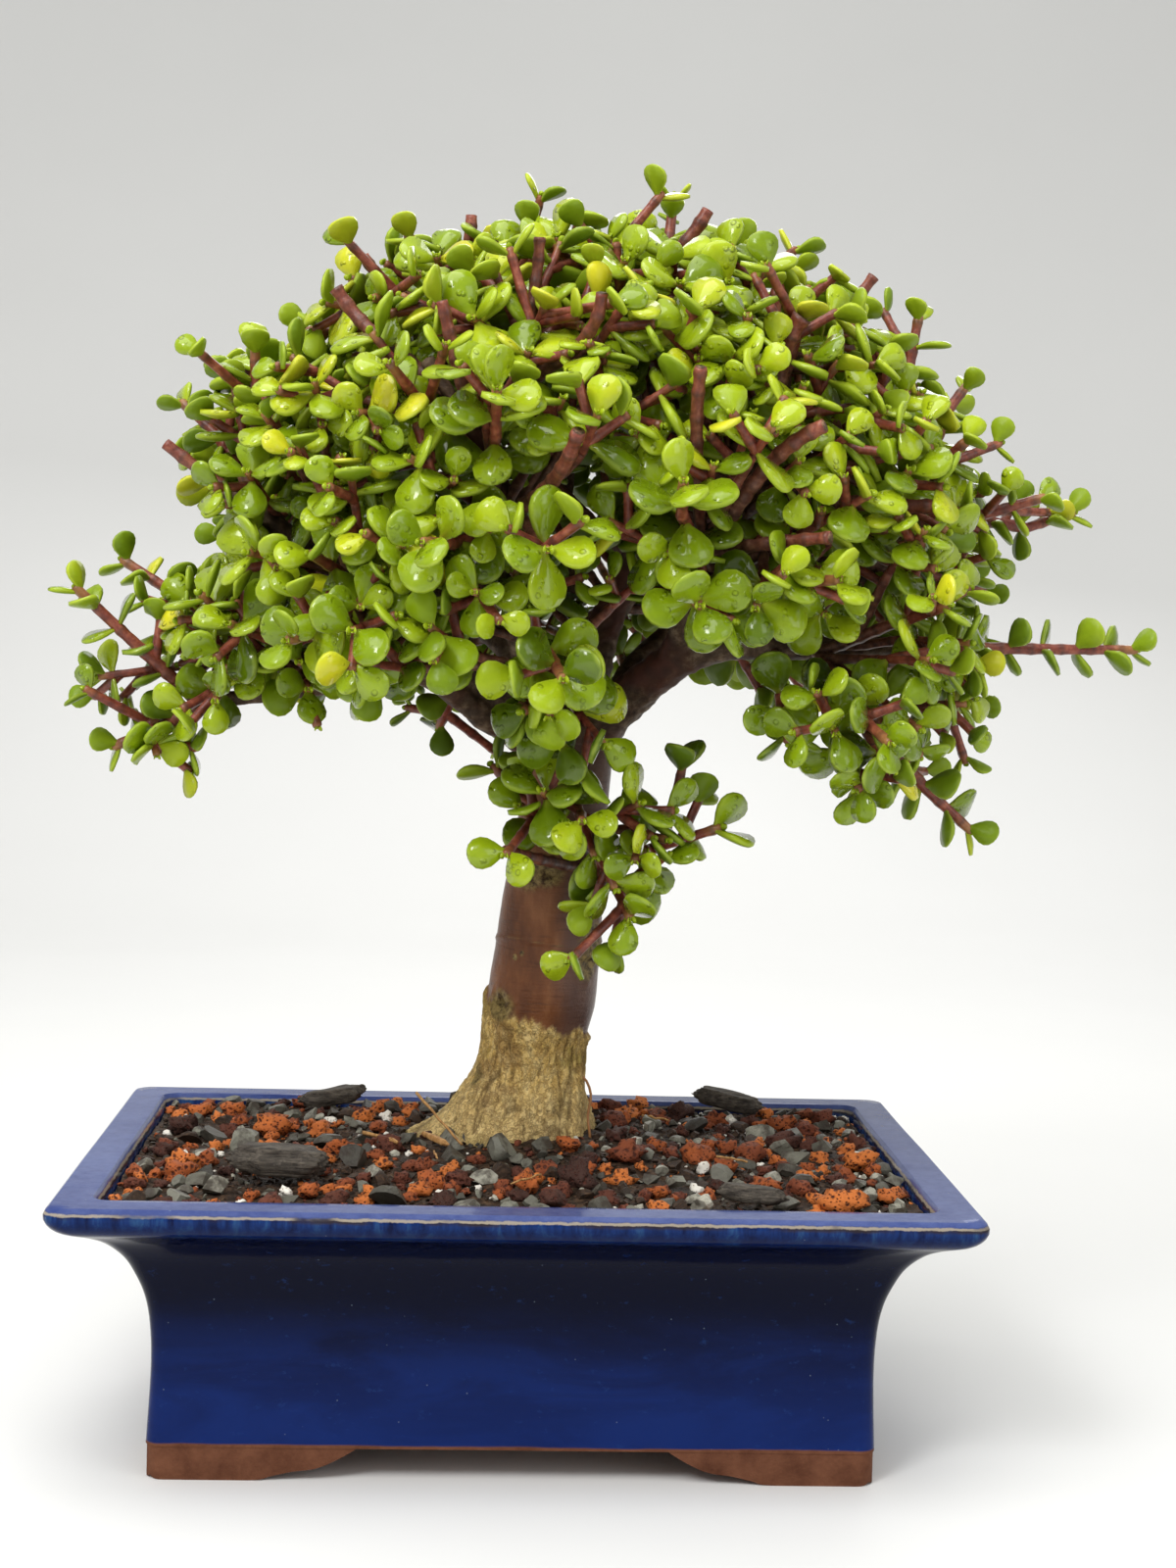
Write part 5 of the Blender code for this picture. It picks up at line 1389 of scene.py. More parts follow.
def in_an_open_view(tip):
    """Whether a tip stands in the line of sight through one of the views that stay open."""
    if tip.y > OPEN_VIEW_Y + BEHIND_VIEW:
        return False
    sight = EYE + (tip - EYE) * ((OPEN_VIEW_Y - EYE.y) / (tip.y - EYE.y))
    return any(left < sight.x / MM < end and low < sight.z / MM < high for left, end, low, high in OPEN_VIEWS)


extra = []


def grow_extra(tip, heading, pairs, size, delays, sizes, ways):
    """Adds a shoot that the solids leave out, where there is a way for it."""
    shoot = Shoot("extra_%03d" % len(extra), tip, heading, pairs, size, samples, EXTRA_PAIR_STEP)
    shoot.main.radius *= EXTRA_SLIM
    shoot.main.gather, shoot.main.open_angle = EXTRA_GATHER, EXTRA_OPEN_ANGLE
    if shoot.main.first < 3 or not find_way(shoot, space, delays, sizes, ways):
        return
    samples.extend(shoot.forks()[:EXTRA_FORKS])
    claim(shoot, space)
    extra.append(shoot)


for tip, heading, pairs, leaf in FRONT_ROSETTES:
    grow_extra(Vector(tip) * MM, Vector(heading).normalized(), pairs, leaf * MM, *ROSETTE_WAYS)
for scale, spacing, candidates, pairs, leaf in COATS:
    for tip in filling_tips(tips, candidates, spacing, scale, COAT_TOP, COAT_SPAN):
        if in_an_open_view(tip):
            continue
        draw = random.Random(COAT_SEED + len(extra))
        heading = (crown_heading(tip) + rolled(draw.gauss, 0, STRAY)).normalized()
        size = leaf * draw.uniform(0.80, 1.14)
        grow_extra(tip, heading, pairs, size, *COAT_WAYS)
for number, shoot in enumerate(extra):
    draw = random.Random(EXTRA_SEED + number)
    put_out_sides(shoot, space, draw, EXTRA_SHARES, EXTRA_REACH)
    put_out_leaves(shoot, space, draw, [shoot.main] + shoot.sides)
for number, shoot in enumerate(shoots):
    draw = random.Random(MORE_SEED + number)
    before = len(shoot.sides)
    put_out_sides(shoot, space, draw, EXTRA_SHARES, EXTRA_REACH)
    put_out_leaves(shoot, space, draw, shoot.sides[before:])


# The finer wood: the trunk is drawn up ring by ring, the limbs are run into it, and the whole is made one
# skin before its bark is worked.
RING_SIDES, RING_STEP = 72, 0.0014
SKIN_CELL = 0.00085
FINE_LIMB_SIDES, FINE_LIMB_STEP = 14, 0.003
CORK_TOP_Z = 0.1175
SCARS = (
    # direction on the trunk in degrees, height, width, how far it stands out and how deep its middle is
    (222, 121.5, 4.6, 0.9, 1.7), (236, 162.5, 5.4, 0.8, 0.7), (258, 163.0, 4.6, 0.6, 0.5),
    (306, 163.0, 3.4, 0.8, 2.0), (322, 142.5, 4.8, 0.9, 0.6), (318, 134.5, 4.6, 0.7, 0.4),
    (206, 99.0, 3.5, 0.8, 0.6), (120, 128.0, 4.0, 0.9, 1.2), (60, 150.0, 4.4, 0.8, 0.9),
    (232, 136.5, 0.9, 0.5, 0.0), (240, 138.0, 0.8, 0.5, 0.0),
)
NODE_STEP, NODE_SWELL = 0.0085, 0.05
# where the trunk's bark gives way to the limbs', and the fine ridge that runs round the trunk
FORK_LOW_Z, FORK_HIGH_Z = 0.196, 0.212
RIDGE_Z, RIDGE_HALF, RIDGE_STAND = 0.1410, 0.0007, 0.00045


def trunk_axis(z):
    """Centre and radius of the trunk at this height."""
    rows = [Vector(ring) * MM for ring in TRUNK_RINGS]
    for low, high in zip(rows, rows[1:]):
        if z <= high.z:
            return low.lerp(high, held((z - low.z) / (high.z - low.z)))
    return rows[-1]


def ring_tube(route, radii, sides):
    """Points, faces and surface coordinates of a closed tube: rings round a route and a point at each end."""
    heading, uv, run = tangents(route), [(0.0, 0.0)], 0.0
    stations = []
    for i, (point, direction, radius) in enumerate(zip(route, heading, radii)):
        stations.append((point, direction if direction.length > 0.5 else heading[i - 1], radius))
        run += (point - route[i - 1]).length if i else 0.0
        uv += [(side / sides, run) for side in range(sides)]
    verts = [route[0]] + ring_points(stations, sides) + [route[-1]]
    uv.append((0.0, run))
    faces = []
    for side in range(sides):
        after = (side + 1) % sides
        faces.append((0, 1 + after, 1 + side))
        for ring in range(len(route) - 1):
            low, high = 1 + ring * sides, 1 + (ring + 1) * sides
            faces.append((low + side, low + after, high + after, high + side))
        last = 1 + (len(route) - 1) * sides
        faces.append((last + side, last + after, len(verts) - 1))
    return verts, faces, uv


axis_rows = even_curve([Vector(ring) * MM for ring in TRUNK_RINGS], RING_STEP)
trunk_loops = []
for x, y, z, radius in axis_rows:
    loop = []
    for side in range(RING_SIDES):
        angle = 2 * math.pi * side / RING_SIDES
        reach = radius + root_flare(angle, z)
        loop.append(Vector((x + reach * math.cos(angle), y + reach * math.sin(angle), z)))
    trunk_loops.append(loop)
wood = drawn_up("trunk_wood", trunk_loops)
start_afresh()
limb_near = []
for limb in LIMBS:
    stations = limb_stations(limb, FINE_LIMB_STEP)
    route = [s[0] for s in stations]
    radii = []
    for i, (point, _, radius) in enumerate(stations):
        node = math.cos(2 * math.pi * i * FINE_LIMB_STEP / NODE_STEP)
        radii.append(radius * (1.0 + NODE_SWELL * max(node, 0.0) + noise.noise(point * 160) * 0.10))
        limb_near.append((point, radius))
    mesh = bpy.data.meshes.new("limb")
    verts, faces, _ = ring_tube(route, radii, FINE_LIMB_SIDES)
    mesh.from_pydata(verts, [], faces)
    limb_object = bpy.data.objects.new("limb", mesh)
    bpy.context.scene.collection.objects.link(limb_object)
    limb_object.select_set(True)
wood.select_set(True)
bpy.context.view_layer.objects.active = wood
bpy.ops.object.join()
modified(wood, "REMESH", mode="VOXEL", voxel_size=SKIN_CELL)
modified(wood, "SMOOTH", factor=0.5, iterations=5)

near = KDTree(len(limb_near))
for i, (point, _) in enumerate(limb_near):
    near.insert(point, i)
near.balance()
scar_spots = []
for direction, z, width, stand, deep in SCARS:
    row = trunk_axis(z * MM)
    angle = math.radians(direction)
    reach = row.w + root_flare(angle, z * MM)
    spot = Vector((row.x + reach * math.cos(angle), row.y + reach * math.sin(angle), z * MM))
    scar_spots.append((spot, width * MM, stand * MM, deep * MM))


def worked_bark(point):
    """How far the bark stands out here, and its paint: cork, trunk, scar and hollow, for painted shade."""
    row = trunk_axis(point.z)
    off = Vector((point.x - row.x, point.y - row.y))
    angle = math.atan2(off.y, off.x)
    flare = root_flare(angle, point.z)
    on_trunk = 1.0 - smooth(off.length, row.w * 1.25 + flare, row.w * 1.6 + flare)
    on_trunk *= 1.0 - smooth(point.z, FORK_LOW_Z, FORK_HIGH_Z)

    # the cork's ragged upper edge, its furrows up and round the trunk, and the plates between them
    ragged = noise.noise(Vector((angle * 2.2, point.z * 60, 4))) * 0.0036
    ragged += noise.noise(Vector((angle * 8, 2, 4))) * 0.0024
    edge = CORK_TOP_Z - 0.0060 * math.cos(angle + 0.17) + ragged
    cork = on_trunk * (1.0 - smooth(point.z, edge - 0.0010, edge + 0.0008))
    bend = noise.noise(Vector((point.x * 60, point.y * 60, point.z * 25))) * 1.6
    furrow_up = 1.0 - smooth(abs(noise.noise(Vector((angle * 6.5 + bend, point.z * 55, 1.0)))), 0.0, 0.13)
    furrow_round = 1.0 - smooth(abs(noise.noise(Vector((angle * 3.5, point.z * 260 + bend, 5.0)))), 0.0, 0.12)
    ridge = 1.0 - max(furrow_up, furrow_round * 0.75)
    fine = noise.noise(Vector((angle * 30 + bend, point.z * 420, 9.0)))
    lumps = noise.noise(point * 75 + Vector((3, 8, 2)))
    shelf = math.exp(-(((point.z - edge + 0.0018) / 0.0016) ** 2))
    ribs = noise.noise(Vector((math.cos(angle) * 2.4, math.sin(angle) * 2.4, 7 + point.z * 20)))
    push = cork * (1 - smooth(point.z, 0.088, 0.114)) * ribs * 0.0024
    push += cork * (ridge * 0.00070 + fine * 0.00028 + lumps * 0.0017 + shelf * 0.0005 - 0.0002)

    # the smooth bark above it, and the limbs' knobbly bark
    wrinkle = noise.noise(Vector((point.x * 500, point.y * 500, point.z * 500)))
    plates = abs(noise.noise(point * 210)) * 2.0
    thick = limb_near[near.find(point)[1]][1]
    push += (on_trunk - cork) * (lumps * 0.00042 + wrinkle * 0.00005)
    limb_bark = wrinkle * 0.00022 + lumps * 0.0009 - plates * 0.00026
    push += (1.0 - on_trunk) * limb_bark * min(thick / 0.004, 1.4)

    # the fine ridge round the trunk and the scars
    off_line = point.z - RIDGE_Z - 0.0012 * math.sin(angle * 2)
    line = math.exp(-((off_line / RIDGE_HALF) ** 2)) * on_trunk
    push += line * RIDGE_STAND
    scarred = line * 0.55
    for spot, width, stand, deep in scar_spots:
        gap = (point - spot).length / width
        if gap < 3:
            ring = math.exp(-(((gap - 0.9) / 0.55) ** 2))
            rough = 0.6 + 0.8 * noise.noise(point * 420)
            push += ring * stand * rough - math.exp(-((gap / 0.42) ** 2)) * deep
            scarred = max(scarred, math.exp(-((gap / 1.35) ** 2)))
    # how sunken the cork's furrows and the limbs' dents are, which the bark's paint darkens as painted shade
    hollow = cork * (1.0 - ridge) * 0.8 + (1.0 - on_trunk) * plates * 0.7
    return push, (cork, on_trunk, max(scarred, 0.0), held(hollow))


worked = [worked_bark(vert.co) for vert in wood.data.vertices]
moved = [vert.co + vert.normal * push for vert, (push, _) in zip(wood.data.vertices, worked)]
for vert, point in zip(wood.data.vertices, moved):
    vert.co = point
colours = wood.data.color_attributes.new("growth", "FLOAT_COLOR", "POINT")
colours.data.foreach_set("color", np.array([paint for _, paint in worked], np.float32).ravel())

bark, place, _ = new_finish("bark", {"IOR": 1.45, "Specular IOR Level": 0.25})
paint = place.node("Attribute", attribute_name="growth")
# the paint's fourth channel: how sunken the bark is here, for painted shade
hollow = place.node("Attribute", attribute_name="growth", out=3)
cork, on_trunk, scar = paint.channel(0), paint.channel(1), paint.channel(2)
fibre = place.stretched(330, 330, 90).noise(1.0, 5, 0.7, 0.5)
jitter = place.node("TexNoise", {"Scale": 160.0, "Detail": 3.0}, out=1).stretched(0.005, 0.005, 0.005)
warped = place.node("VectorMath", {0: place, 1: jitter}, operation="ADD")
cracks = warped.stretched(430, 430, 230).cells(1.0, feature="DISTANCE_TO_EDGE").rise(0.16, 0.02)
small_cracks = warped.stretched(900, 900, 1300).cells(1.0, feature="DISTANCE_TO_EDGE").rise(0.12, 0.01)
cracks = cracks.most(small_cracks * 0.45)
patch = place.noise(55.0, 3, 0.6)
net = place.stretched(520, 520, 330).noise(1.0, 4, 0.75)
cork_tone = (fibre * 0.5 + net * 0.5).ramp(
    (0.34, (0.400, 0.235, 0.062)), (0.46, (0.700, 0.460, 0.140)), (0.60, (0.880, 0.660, 0.280))
)
cork_tone = (patch.rise(0.52, 0.66) * 0.65).blend(cork_tone, (0.350, 0.265, 0.055))
cork_tone = (place.noise(90.0, 2).rise(0.54, 0.64) * 0.5).blend(cork_tone, (0.230, 0.120, 0.045))
cork_tone = (place.axis(2).rise(0.104, 0.084) * 0.35).blend(cork_tone, (0.780, 0.620, 0.330))
cork_tone = (cracks * 0.58).blend(cork_tone, (0.130, 0.072, 0.022))
# the cork's furrows are painted darker: painted shade
cork_tone = (hollow.rise(0.30, 0.95) * 0.75).blend(cork_tone, (0.080, 0.045, 0.015))
sheen = place.stretched(120, 120, 45).noise(1.0, 4, 0.6)
satin = sheen.ramp(
    (0.30, (0.085, 0.030, 0.013)), (0.52, (0.170, 0.062, 0.023)), (0.72, (0.260, 0.112, 0.045))
)
greyed = (place.axis(0) + place.noise(70.0) * 0.010).rise(MIDDLE.x + 0.012, MIDDLE.x + 0.021)
satin = (greyed * 0.7).blend(satin, (0.085, 0.056, 0.050))
bands = place.stretched(90, 90, 900).noise(1.0, 3, 0.6).rise(0.56, 0.68)
satin = (bands * 0.35).blend(satin, (0.045, 0.022, 0.014))
clouds = place.stretched(60, 60, 30).noise(1.0, 4, 0.6).rise(0.54, 0.66)
satin = (clouds * 0.35).blend(satin, (0.060, 0.024, 0.013))
limb_tone = place.noise(260.0, 5, 0.7).ramp(
    (0.32, (0.028, 0.015, 0.008)), (0.50, (0.100, 0.060, 0.034)), (0.68, (0.240, 0.170, 0.110))
)
limb_tone = place.noise(38.0, 2).rise(0.50, 0.62).blend(limb_tone, (0.085, 0.030, 0.019))
# the limbs' dents are painted darker: painted shade
limb_tone = (hollow * 0.7).blend(limb_tone, (0.018, 0.010, 0.007))
tone = on_trunk.blend(limb_tone, satin)
tone = cork.blend(tone, cork_tone)
scar_tone = place.noise(520.0, 4, 0.7).ramp((0.38, (0.030, 0.020, 0.008)), (0.62, (0.290, 0.215, 0.075)))
tone = (scar.rise(0.35, 0.75) * 0.85).blend(tone, scar_tone)
shade(bark, {
    "Base Color": tone,
    "Roughness": cork * 0.42 + scar * 0.15 + (1 - on_trunk) * 0.26 + (0.24 + sheen * 0.14),
    "Normal": (
        (fibre * 0.8 - cracks * 1.1) * cork + sheen * 0.25 + place.noise(800.0, 4, 0.7) * 0.45
        + place.stretched(60, 60, 800).noise(1.0, 3, 0.6) * (1 - cork) * 0.5
    ).bump(0.65, 0.0006),
})
dress(wood, bark)
wood.data.shade_smooth()
wood.name = "trunk_and_thick_limbs"
settled(wood)
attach(wood, "root")
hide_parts("trunk_and_limbs")


# The twigs and the bare stems: round, ringed by leaf scars, red-brown when young and brown when old. The bare
# ones were cut straight across and have dried. A thin root beside them leaves the trunk above the soil.
NODE_HALF, SCAR_HALF = 0.0011, 0.0006
TWIG_NODES, STUB_NODES = 0.0070, 0.0062
FINE_TWIG_SIDES, FINE_STUB_SIDES, ROOTLET_SIDES = 7, 10, 6
ROOTLET = ((16, 12, 101), (20.5, 12, 99), (22.6, 11, 94), (21.8, 10, 88), (22.4, 9, 83), (23, 9, 78))
ROOTLET_RADIUS = 0.00045

young_bark, place, _ = new_finish("young_bark", {"IOR": 1.45})
paint = place.node("Attribute", attribute_name="growth")
age, ring, cut = paint.channel(0), paint.channel(1), paint.channel(2)
lengthways = place.noise(420.0, 4, 0.65)
spots = place.noise(190.0, 3)
red = (lengthways + spots * 0.5 - 0.25).ramp(
    (0.25, (0.080, 0.016, 0.010)), (0.50, (0.200, 0.042, 0.024)), (0.75, (0.370, 0.115, 0.062))
)
brown = lengthways.ramp(
    (0.30, (0.042, 0.018, 0.010)), (0.52, (0.130, 0.058, 0.032)), (0.74, (0.290, 0.170, 0.105))
)
tone = age.rise(0.30, 0.95).blend(red, brown)
tone = (age.rise(0.10, 0.0) * 0.75).blend(tone, (0.330, 0.160, 0.050))
tone = (ring * 0.65).blend(tone, (0.045, 0.020, 0.014))
cut_tone = place.noise(900.0, 3).ramp((0.35, (0.030, 0.018, 0.012)), (0.65, (0.250, 0.130, 0.070)))
tone = cut.rise(0.4, 0.6).blend(tone, cut_tone)
shade(young_bark, {
    "Base Color": tone,
    "Roughness": lengthways * 0.25 + age * 0.15 + cut * 0.2 + 0.22,
    "Normal": (lengthways + place.noise(1400.0, 3) * 0.5).bump(0.35, 0.0005),
})


def knobbly(route, radii, nodes, swell):
    """Radii with a swelling at each node along the route, and how near each point is to one."""
    run, made, rings = 0.0, [], []
    for i, (point, radius) in enumerate(zip(route, radii)):
        run += (point - route[i - 1]).length if i else 0.0
        nearest = min((abs(run - node) for node in nodes), default=1.0)
        close = math.exp(-((nearest / NODE_HALF) ** 2))
        made.append(radius * (1 + swell * close + 0.06 * noise.noise(point * 330)))
        rings.append(math.exp(-((nearest / SCAR_HALF) ** 2)))
    return made, rings


def finer(route, radii):
    """The route with a point put halfway between its points."""
    points, sizes = [], []
    for (a, b), (size_a, size_b) in zip(zip(route, route[1:]), zip(radii, radii[1:])):
        points += [a.copy(), a.lerp(b, 0.5)]
        sizes += [size_a, size_a + (size_b - size_a) / 2]
    return points + [route[-1]], sizes + [radii[-1]]


def add_wood(gathered, route, radii, nodes, sides, ages, swell=0.16, is_cut=False):
    """Adds one round stem, aged from its root to its end, which is rounded off or cut straight across."""
    route, radii = finer(route, radii)
    low_age, high_age = ages
    radii, rings = knobbly(route, radii, nodes, swell)
    count = len(route)
    marks = [(low_age + (high_age - low_age) * i / (count - 1), rings[i], 0.0, 1.0) for i in range(count)]
    tip, size = route[-1], radii[-1]
    way = (tip - route[-2]).normalized()
    if is_cut:
        route += [tip + way * 0.0001, tip - way * 0.0003]
        radii += [size * 0.80, size * 0.55]
        marks += [(high_age, 0.0, 1.0, 1.0)] * 2
    else:
        route.append(tip + way * size * 0.5)
        radii.append(size * 0.62)
        marks.append(marks[-1])
    verts, faces, uv = ring_tube(route, radii, sides)
    paint = [marks[0]] + [mark for mark in marks for _ in range(sides)] + [marks[-1]]
    gathered.add(verts, faces, paint, uv)


def node_runs(length, step, draw):
    """How far along a stem each of its nodes is."""
    runs, run = [], draw.uniform(0.3, 0.9) * step
    while run < length:
        runs.append(run)
        run += step * draw.uniform(0.8, 1.2)
    return runs


def add_twig(gathered, shoot, draw, slim):
    """The woody part of a shoot, from inside its limb."""
    route = shoot.main.route[:shoot.main.first + 1]
    if len(route) < 2:
        return
    radii = [slim * (TWIG_RADIUS + (STEM_RADIUS - TWIG_RADIUS) * i / len(route)) for i in range(len(route))]
    runs = node_runs(len(route) * ROUTE_STEP, TWIG_NODES, draw)
    add_wood(gathered, route, radii, runs, FINE_TWIG_SIDES, (0.95, 0.55))


bare = Gathered()
draw = random.Random(SEED)
for route, radius in stubs:
    radii = [radius * (0.90 - 0.10 * i / len(route)) for i in range(len(route))]
    length = sum((b - a).length for a, b in zip(route, route[1:]))
    runs = node_runs(length, STUB_NODES, draw)
    add_wood(bare, route, radii, runs, FINE_STUB_SIDES, (0.95, 0.42), 0.20, is_cut=True)
for shoot in shoots:
    add_twig(bare, shoot, draw, NAMED_SLIM)
for shoot in extra:
    add_twig(bare, shoot, draw, EXTRA_SLIM)
rootlet = even_curve([Vector(p) * MM for p in ROOTLET], ROUTE_STEP)
add_wood(bare, rootlet, [ROOTLET_RADIUS] * len(rootlet), [], ROOTLET_SIDES, (0.0, 0.0))
twigs = bare.piece("twigs_and_bare_stems", [young_bark])
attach(twigs, "root")
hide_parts("trunk_and_limbs")


# A few more dry splinters lie on the soil, one of them against the left root.
BITS = (
    # both ends and the thickness
    ((-30, 0, 96), (-16, -11, 82.5), 1.3), ((-45.5, 3, 83), (-35, -9, 83), 1.9),
    ((-24, -22, 83), (-23, -30, 83), 0.9), ((-2.5, -60, 83), (6, -50, 83.5), 0.8),
    ((58, -20, 83), (66, -28, 83), 1.0), ((40, 32, 84), (48, 27, 83.5), 1.1),
)
BIT_STEPS, BIT_SIDES, BIT_BEND = 6, 5, 0.0006
bits = Gathered()
for start, end, thick in BITS:
    start, end = Vector(start) * MM, Vector(end) * MM
    route = []
    for k in range(BIT_STEPS + 1):
        bend = noise.noise(start * 90 + Vector((k, 0, 0))) * BIT_BEND
        route.append(start.lerp(end, k / BIT_STEPS) + Vector((0, 0, bend)))
    radii = [thick * MM / 2 * (0.7 + 0.5 * noise.noise(point * 700)) for point in route]
    verts, faces, uv = ring_tube(route, radii, BIT_SIDES)
    bits.add(verts, faces, (1, 1, 1, 1), uv)
bits_piece = bits.piece("dry_bits", [dry_wood])
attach(bits_piece, "root")


# The leaves are fleshy and spoon-shaped, in opposite pairs, each pair a quarter turn on from the last. Their
# green is painted brighter and yellower towards the crown's top and outside and deeper inside it, as painted
# light and shade, and darker on their undersides, as painted shade. They have paler edges and a film of water
# on their upper sides.
LEAF_RINGS = (
    # distance from the root, half width, and half thickness, as shares of the leaf's length
    (0.04, 0.060, 0.052), (0.16, 0.125, 0.070), (0.32, 0.275, 0.090), (0.50, 0.405, 0.104),
    (0.67, 0.450, 0.108), (0.82, 0.405, 0.098), (0.935, 0.270, 0.076), (0.990, 0.125, 0.042),
)
LEAF_ROUND = 6
BUD_RINGS, BUD_ROUND = ((0.25, 0.20, 0.10), (0.60, 0.42, 0.13), (0.90, 0.26, 0.09)), 4
LEAF_FORMS = (
    # hollow across, curl towards the tip, lean to one side, and width
    (0.10, 0.10, 0.00, 1.00), (0.24, 0.16, 0.03, 0.96), (-0.06, 0.22, -0.03, 1.04), (0.16, -0.08, 0.05, 0.90),
    (0.30, 0.05, -0.05, 1.02), (0.05, 0.30, 0.02, 0.94), (0.12, -0.16, -0.02, 1.06),
)
BUD_SCALE, BUD_SUNK, BUD_TINT, BUD_YOUNG = 0.19, 0.0006, 0.62, 0.6
# leaves this far below the crown's middle hang in the open
UNDER_CROWN, UNDER_CROWN_LIGHT = -0.033, 0.78
FINE_STEM_SIDES = 7
# a few leaves have turned yellow
YELLOW_SHARE, YELLOW_TINTS = 0.02, (0.80, 0.94)
UPPER_CROWN_Z = 0.290


def leaf_model(hollow, curl, lean, width, rings=LEAF_RINGS, sides=LEAF_ROUND):
    """One leaf along +Y with its face up, as long as one unit: a ball drawn out into a spoon."""
    start_afresh()
    bpy.ops.mesh.primitive_uv_sphere_add(segments=sides, ring_count=len(rings) + 1, radius=1.0)
    leaf = bpy.context.object
    spoon = ((0.0, 0.0, 0.0), *rings, (1.012, 0.0, 0.0))
    flat = []
    for vert in leaf.data.vertices:
        ball = vert.co.copy()
        along, half, thick = spoon[round(math.acos(held(ball.z, -1.0)) / math.pi * (len(rings) + 1))]
        around = math.atan2(ball.y, ball.x)
        side = signed_power(math.cos(around), 0.8) if half else 0.0
        lift = signed_power(math.sin(around), 0.85) if half else 0.0
        x = side * half * width + lean * along**2
        z = lift * thick + hollow * x * x * 1.6 - curl * max(along - 0.15, 0.0) ** 2 * 0.5
        vert.co = (x, along, z)
        flat.append((0.5 + 0.5 * side, along, lift))
    return *shape_of(leaf), np.array(flat)


leaf_models = [leaf_model(*form) for form in LEAF_FORMS]
bud_models = [leaf_model(0.1, 0.1, 0.0, 1.0, BUD_RINGS, BUD_ROUND)]


def add_leaf(gathered, place, turned, draw, tint_and_light, young, models=leaf_models, scale=1.0):
    """Puts one leaf at its place on a stem, with its own form, size, and tint with its painted light and
    shade.
    """
    point, direction, axis, face, size = place
    turn = Matrix.Rotation(math.radians(turned), 3, direction)
    axis, face = turn @ axis, turn @ face
    across = axis.cross(face)
    verts, faces, flat = draw.choice(models)
    length = (size + STEM_RADIUS) * scale
    basis = np.array((across, axis, face)) * length
    paint = np.ones((len(verts), 4))
    paint[:, 0], paint[:, 1], paint[:, 2] = tint_and_light, young, 0.5 + 0.5 * flat[:, 2]
    gathered.add(verts @ basis + np.array(point + axis * LEAF_ROOT), faces, paint, flat[:, :2], 1)


def light_at(point):
    """How much light a leaf here gets: 0 deep in the crown or under it, 1 on top."""
    away = point - Vector(CROWN_CENTRE) * MM
    out = math.sqrt(sum((a / (r * MM)) ** 2 for a, r in zip(away, CROWN_REACH)))
    if away.z < UNDER_CROWN:
        return UNDER_CROWN_LIGHT
    return held((out - 0.45) / 0.55) * 0.62 + held(away.z / 0.12 + 0.35) * 0.34


def add_spray(gathered, shoot, draw):
    """A shoot's leafy stems, its leaves and the bud at each stem's end."""
    for stem in [shoot.main] + shoot.sides:
        route = stem.route[stem.first:]
        count = len(route)
        end = min(STEM_TIP_RADIUS, stem.radius * 0.85)
        radii = [stem.radius + (end - stem.radius) * i / (count - 1) for i in range(count)]
        nodes = [BARE_START + k * PAIR_STEP for k in range(int(count * ROUTE_STEP / PAIR_STEP) + 1)]
        ages = (0.50, 0.0) if stem is shoot.main else (0.3, 0.05)
        add_wood(gathered, route, radii, nodes, FINE_STEM_SIDES, ages, 0.14)
        tip, heading = route[-1], (route[-1] - route[-2]).normalized()
        normal = any_normal(heading)
        for side in (1, -1):
            for step, (spread, scale) in enumerate(((0.42, BUD_SCALE), (0.25, BUD_SCALE * 0.6))):
                out = side * (normal if step == 0 else heading.cross(normal))
                axis = (heading * math.cos(spread) + out * math.sin(spread)).normalized()
                face = (heading * math.sin(spread) - out * math.cos(spread)).normalized()
                place = (tip - heading * BUD_SUNK, heading, axis, face, stem.leaf)
                add_leaf(gathered, place, 0, draw, BUD_TINT, BUD_YOUNG, bud_models, scale)
    tips_here = [stem.route[-1] for stem in [shoot.main] + shoot.sides]
    for place, turned in shoot.leaves:
        gap = min((place[0] - tip).length for tip in tips_here)
        young = 1.0 - smooth(gap, 0.003, 0.012)
        # each leaf is painted brighter towards the crown's top and outside and darker deep inside it: painted
        # light and shade, with a random spread
        tint_and_light = 0.10 + 0.47 * light_at(place[0] + place[2] * 0.006) + draw.gauss(0, 0.11)
        if draw.random() < YELLOW_SHARE:
            tint_and_light = draw.uniform(*YELLOW_TINTS)
        add_leaf(gathered, place, turned, draw, tint_and_light, young)


leaf_green, place, surface = new_finish(
    "leaf_green", {"IOR": 1.42, "Specular IOR Level": 0.26, "Coat Roughness": 0.06, "Coat IOR": 1.33}
)
paint = place.node("Attribute", attribute_name="growth")
blotch = place.noise(75.0, 3, 0.6)
fine = place.noise(420.0, 4, 0.7)
# the paint's first channel carries each leaf's tint together with its painted light and shade
tint_and_light = paint.channel(0) + (blotch - 0.5) * 0.26 + (fine - 0.5) * 0.10 + paint.channel(1) * 0.14
green = tint_and_light.ramp(
    (0.05, (0.038, 0.064, 0.002)), (0.30, (0.098, 0.158, 0.003)), (0.55, (0.212, 0.310, 0.005)),
    (0.78, (0.370, 0.470, 0.010)), (0.98, (0.600, 0.560, 0.018)),
)
side = (surface.axis(0) - 0.5).maths("ABSOLUTE", surface.axis(0) - 0.5) * 2.0
along = surface.axis(1)
upper = paint.channel(2)
rim = side.rise(0.72, 1.0) * (1 - (upper - 0.5).maths("ABSOLUTE", upper - 0.5) * 1.2)
rim = rim.most(along.rise(0.93, 1.01))
green = (rim * 0.45).blend(green, (0.440, 0.540, 0.070))
green = (along.rise(0.30, 0.02) * 0.50).blend(green, (0.420, 0.460, 0.050))
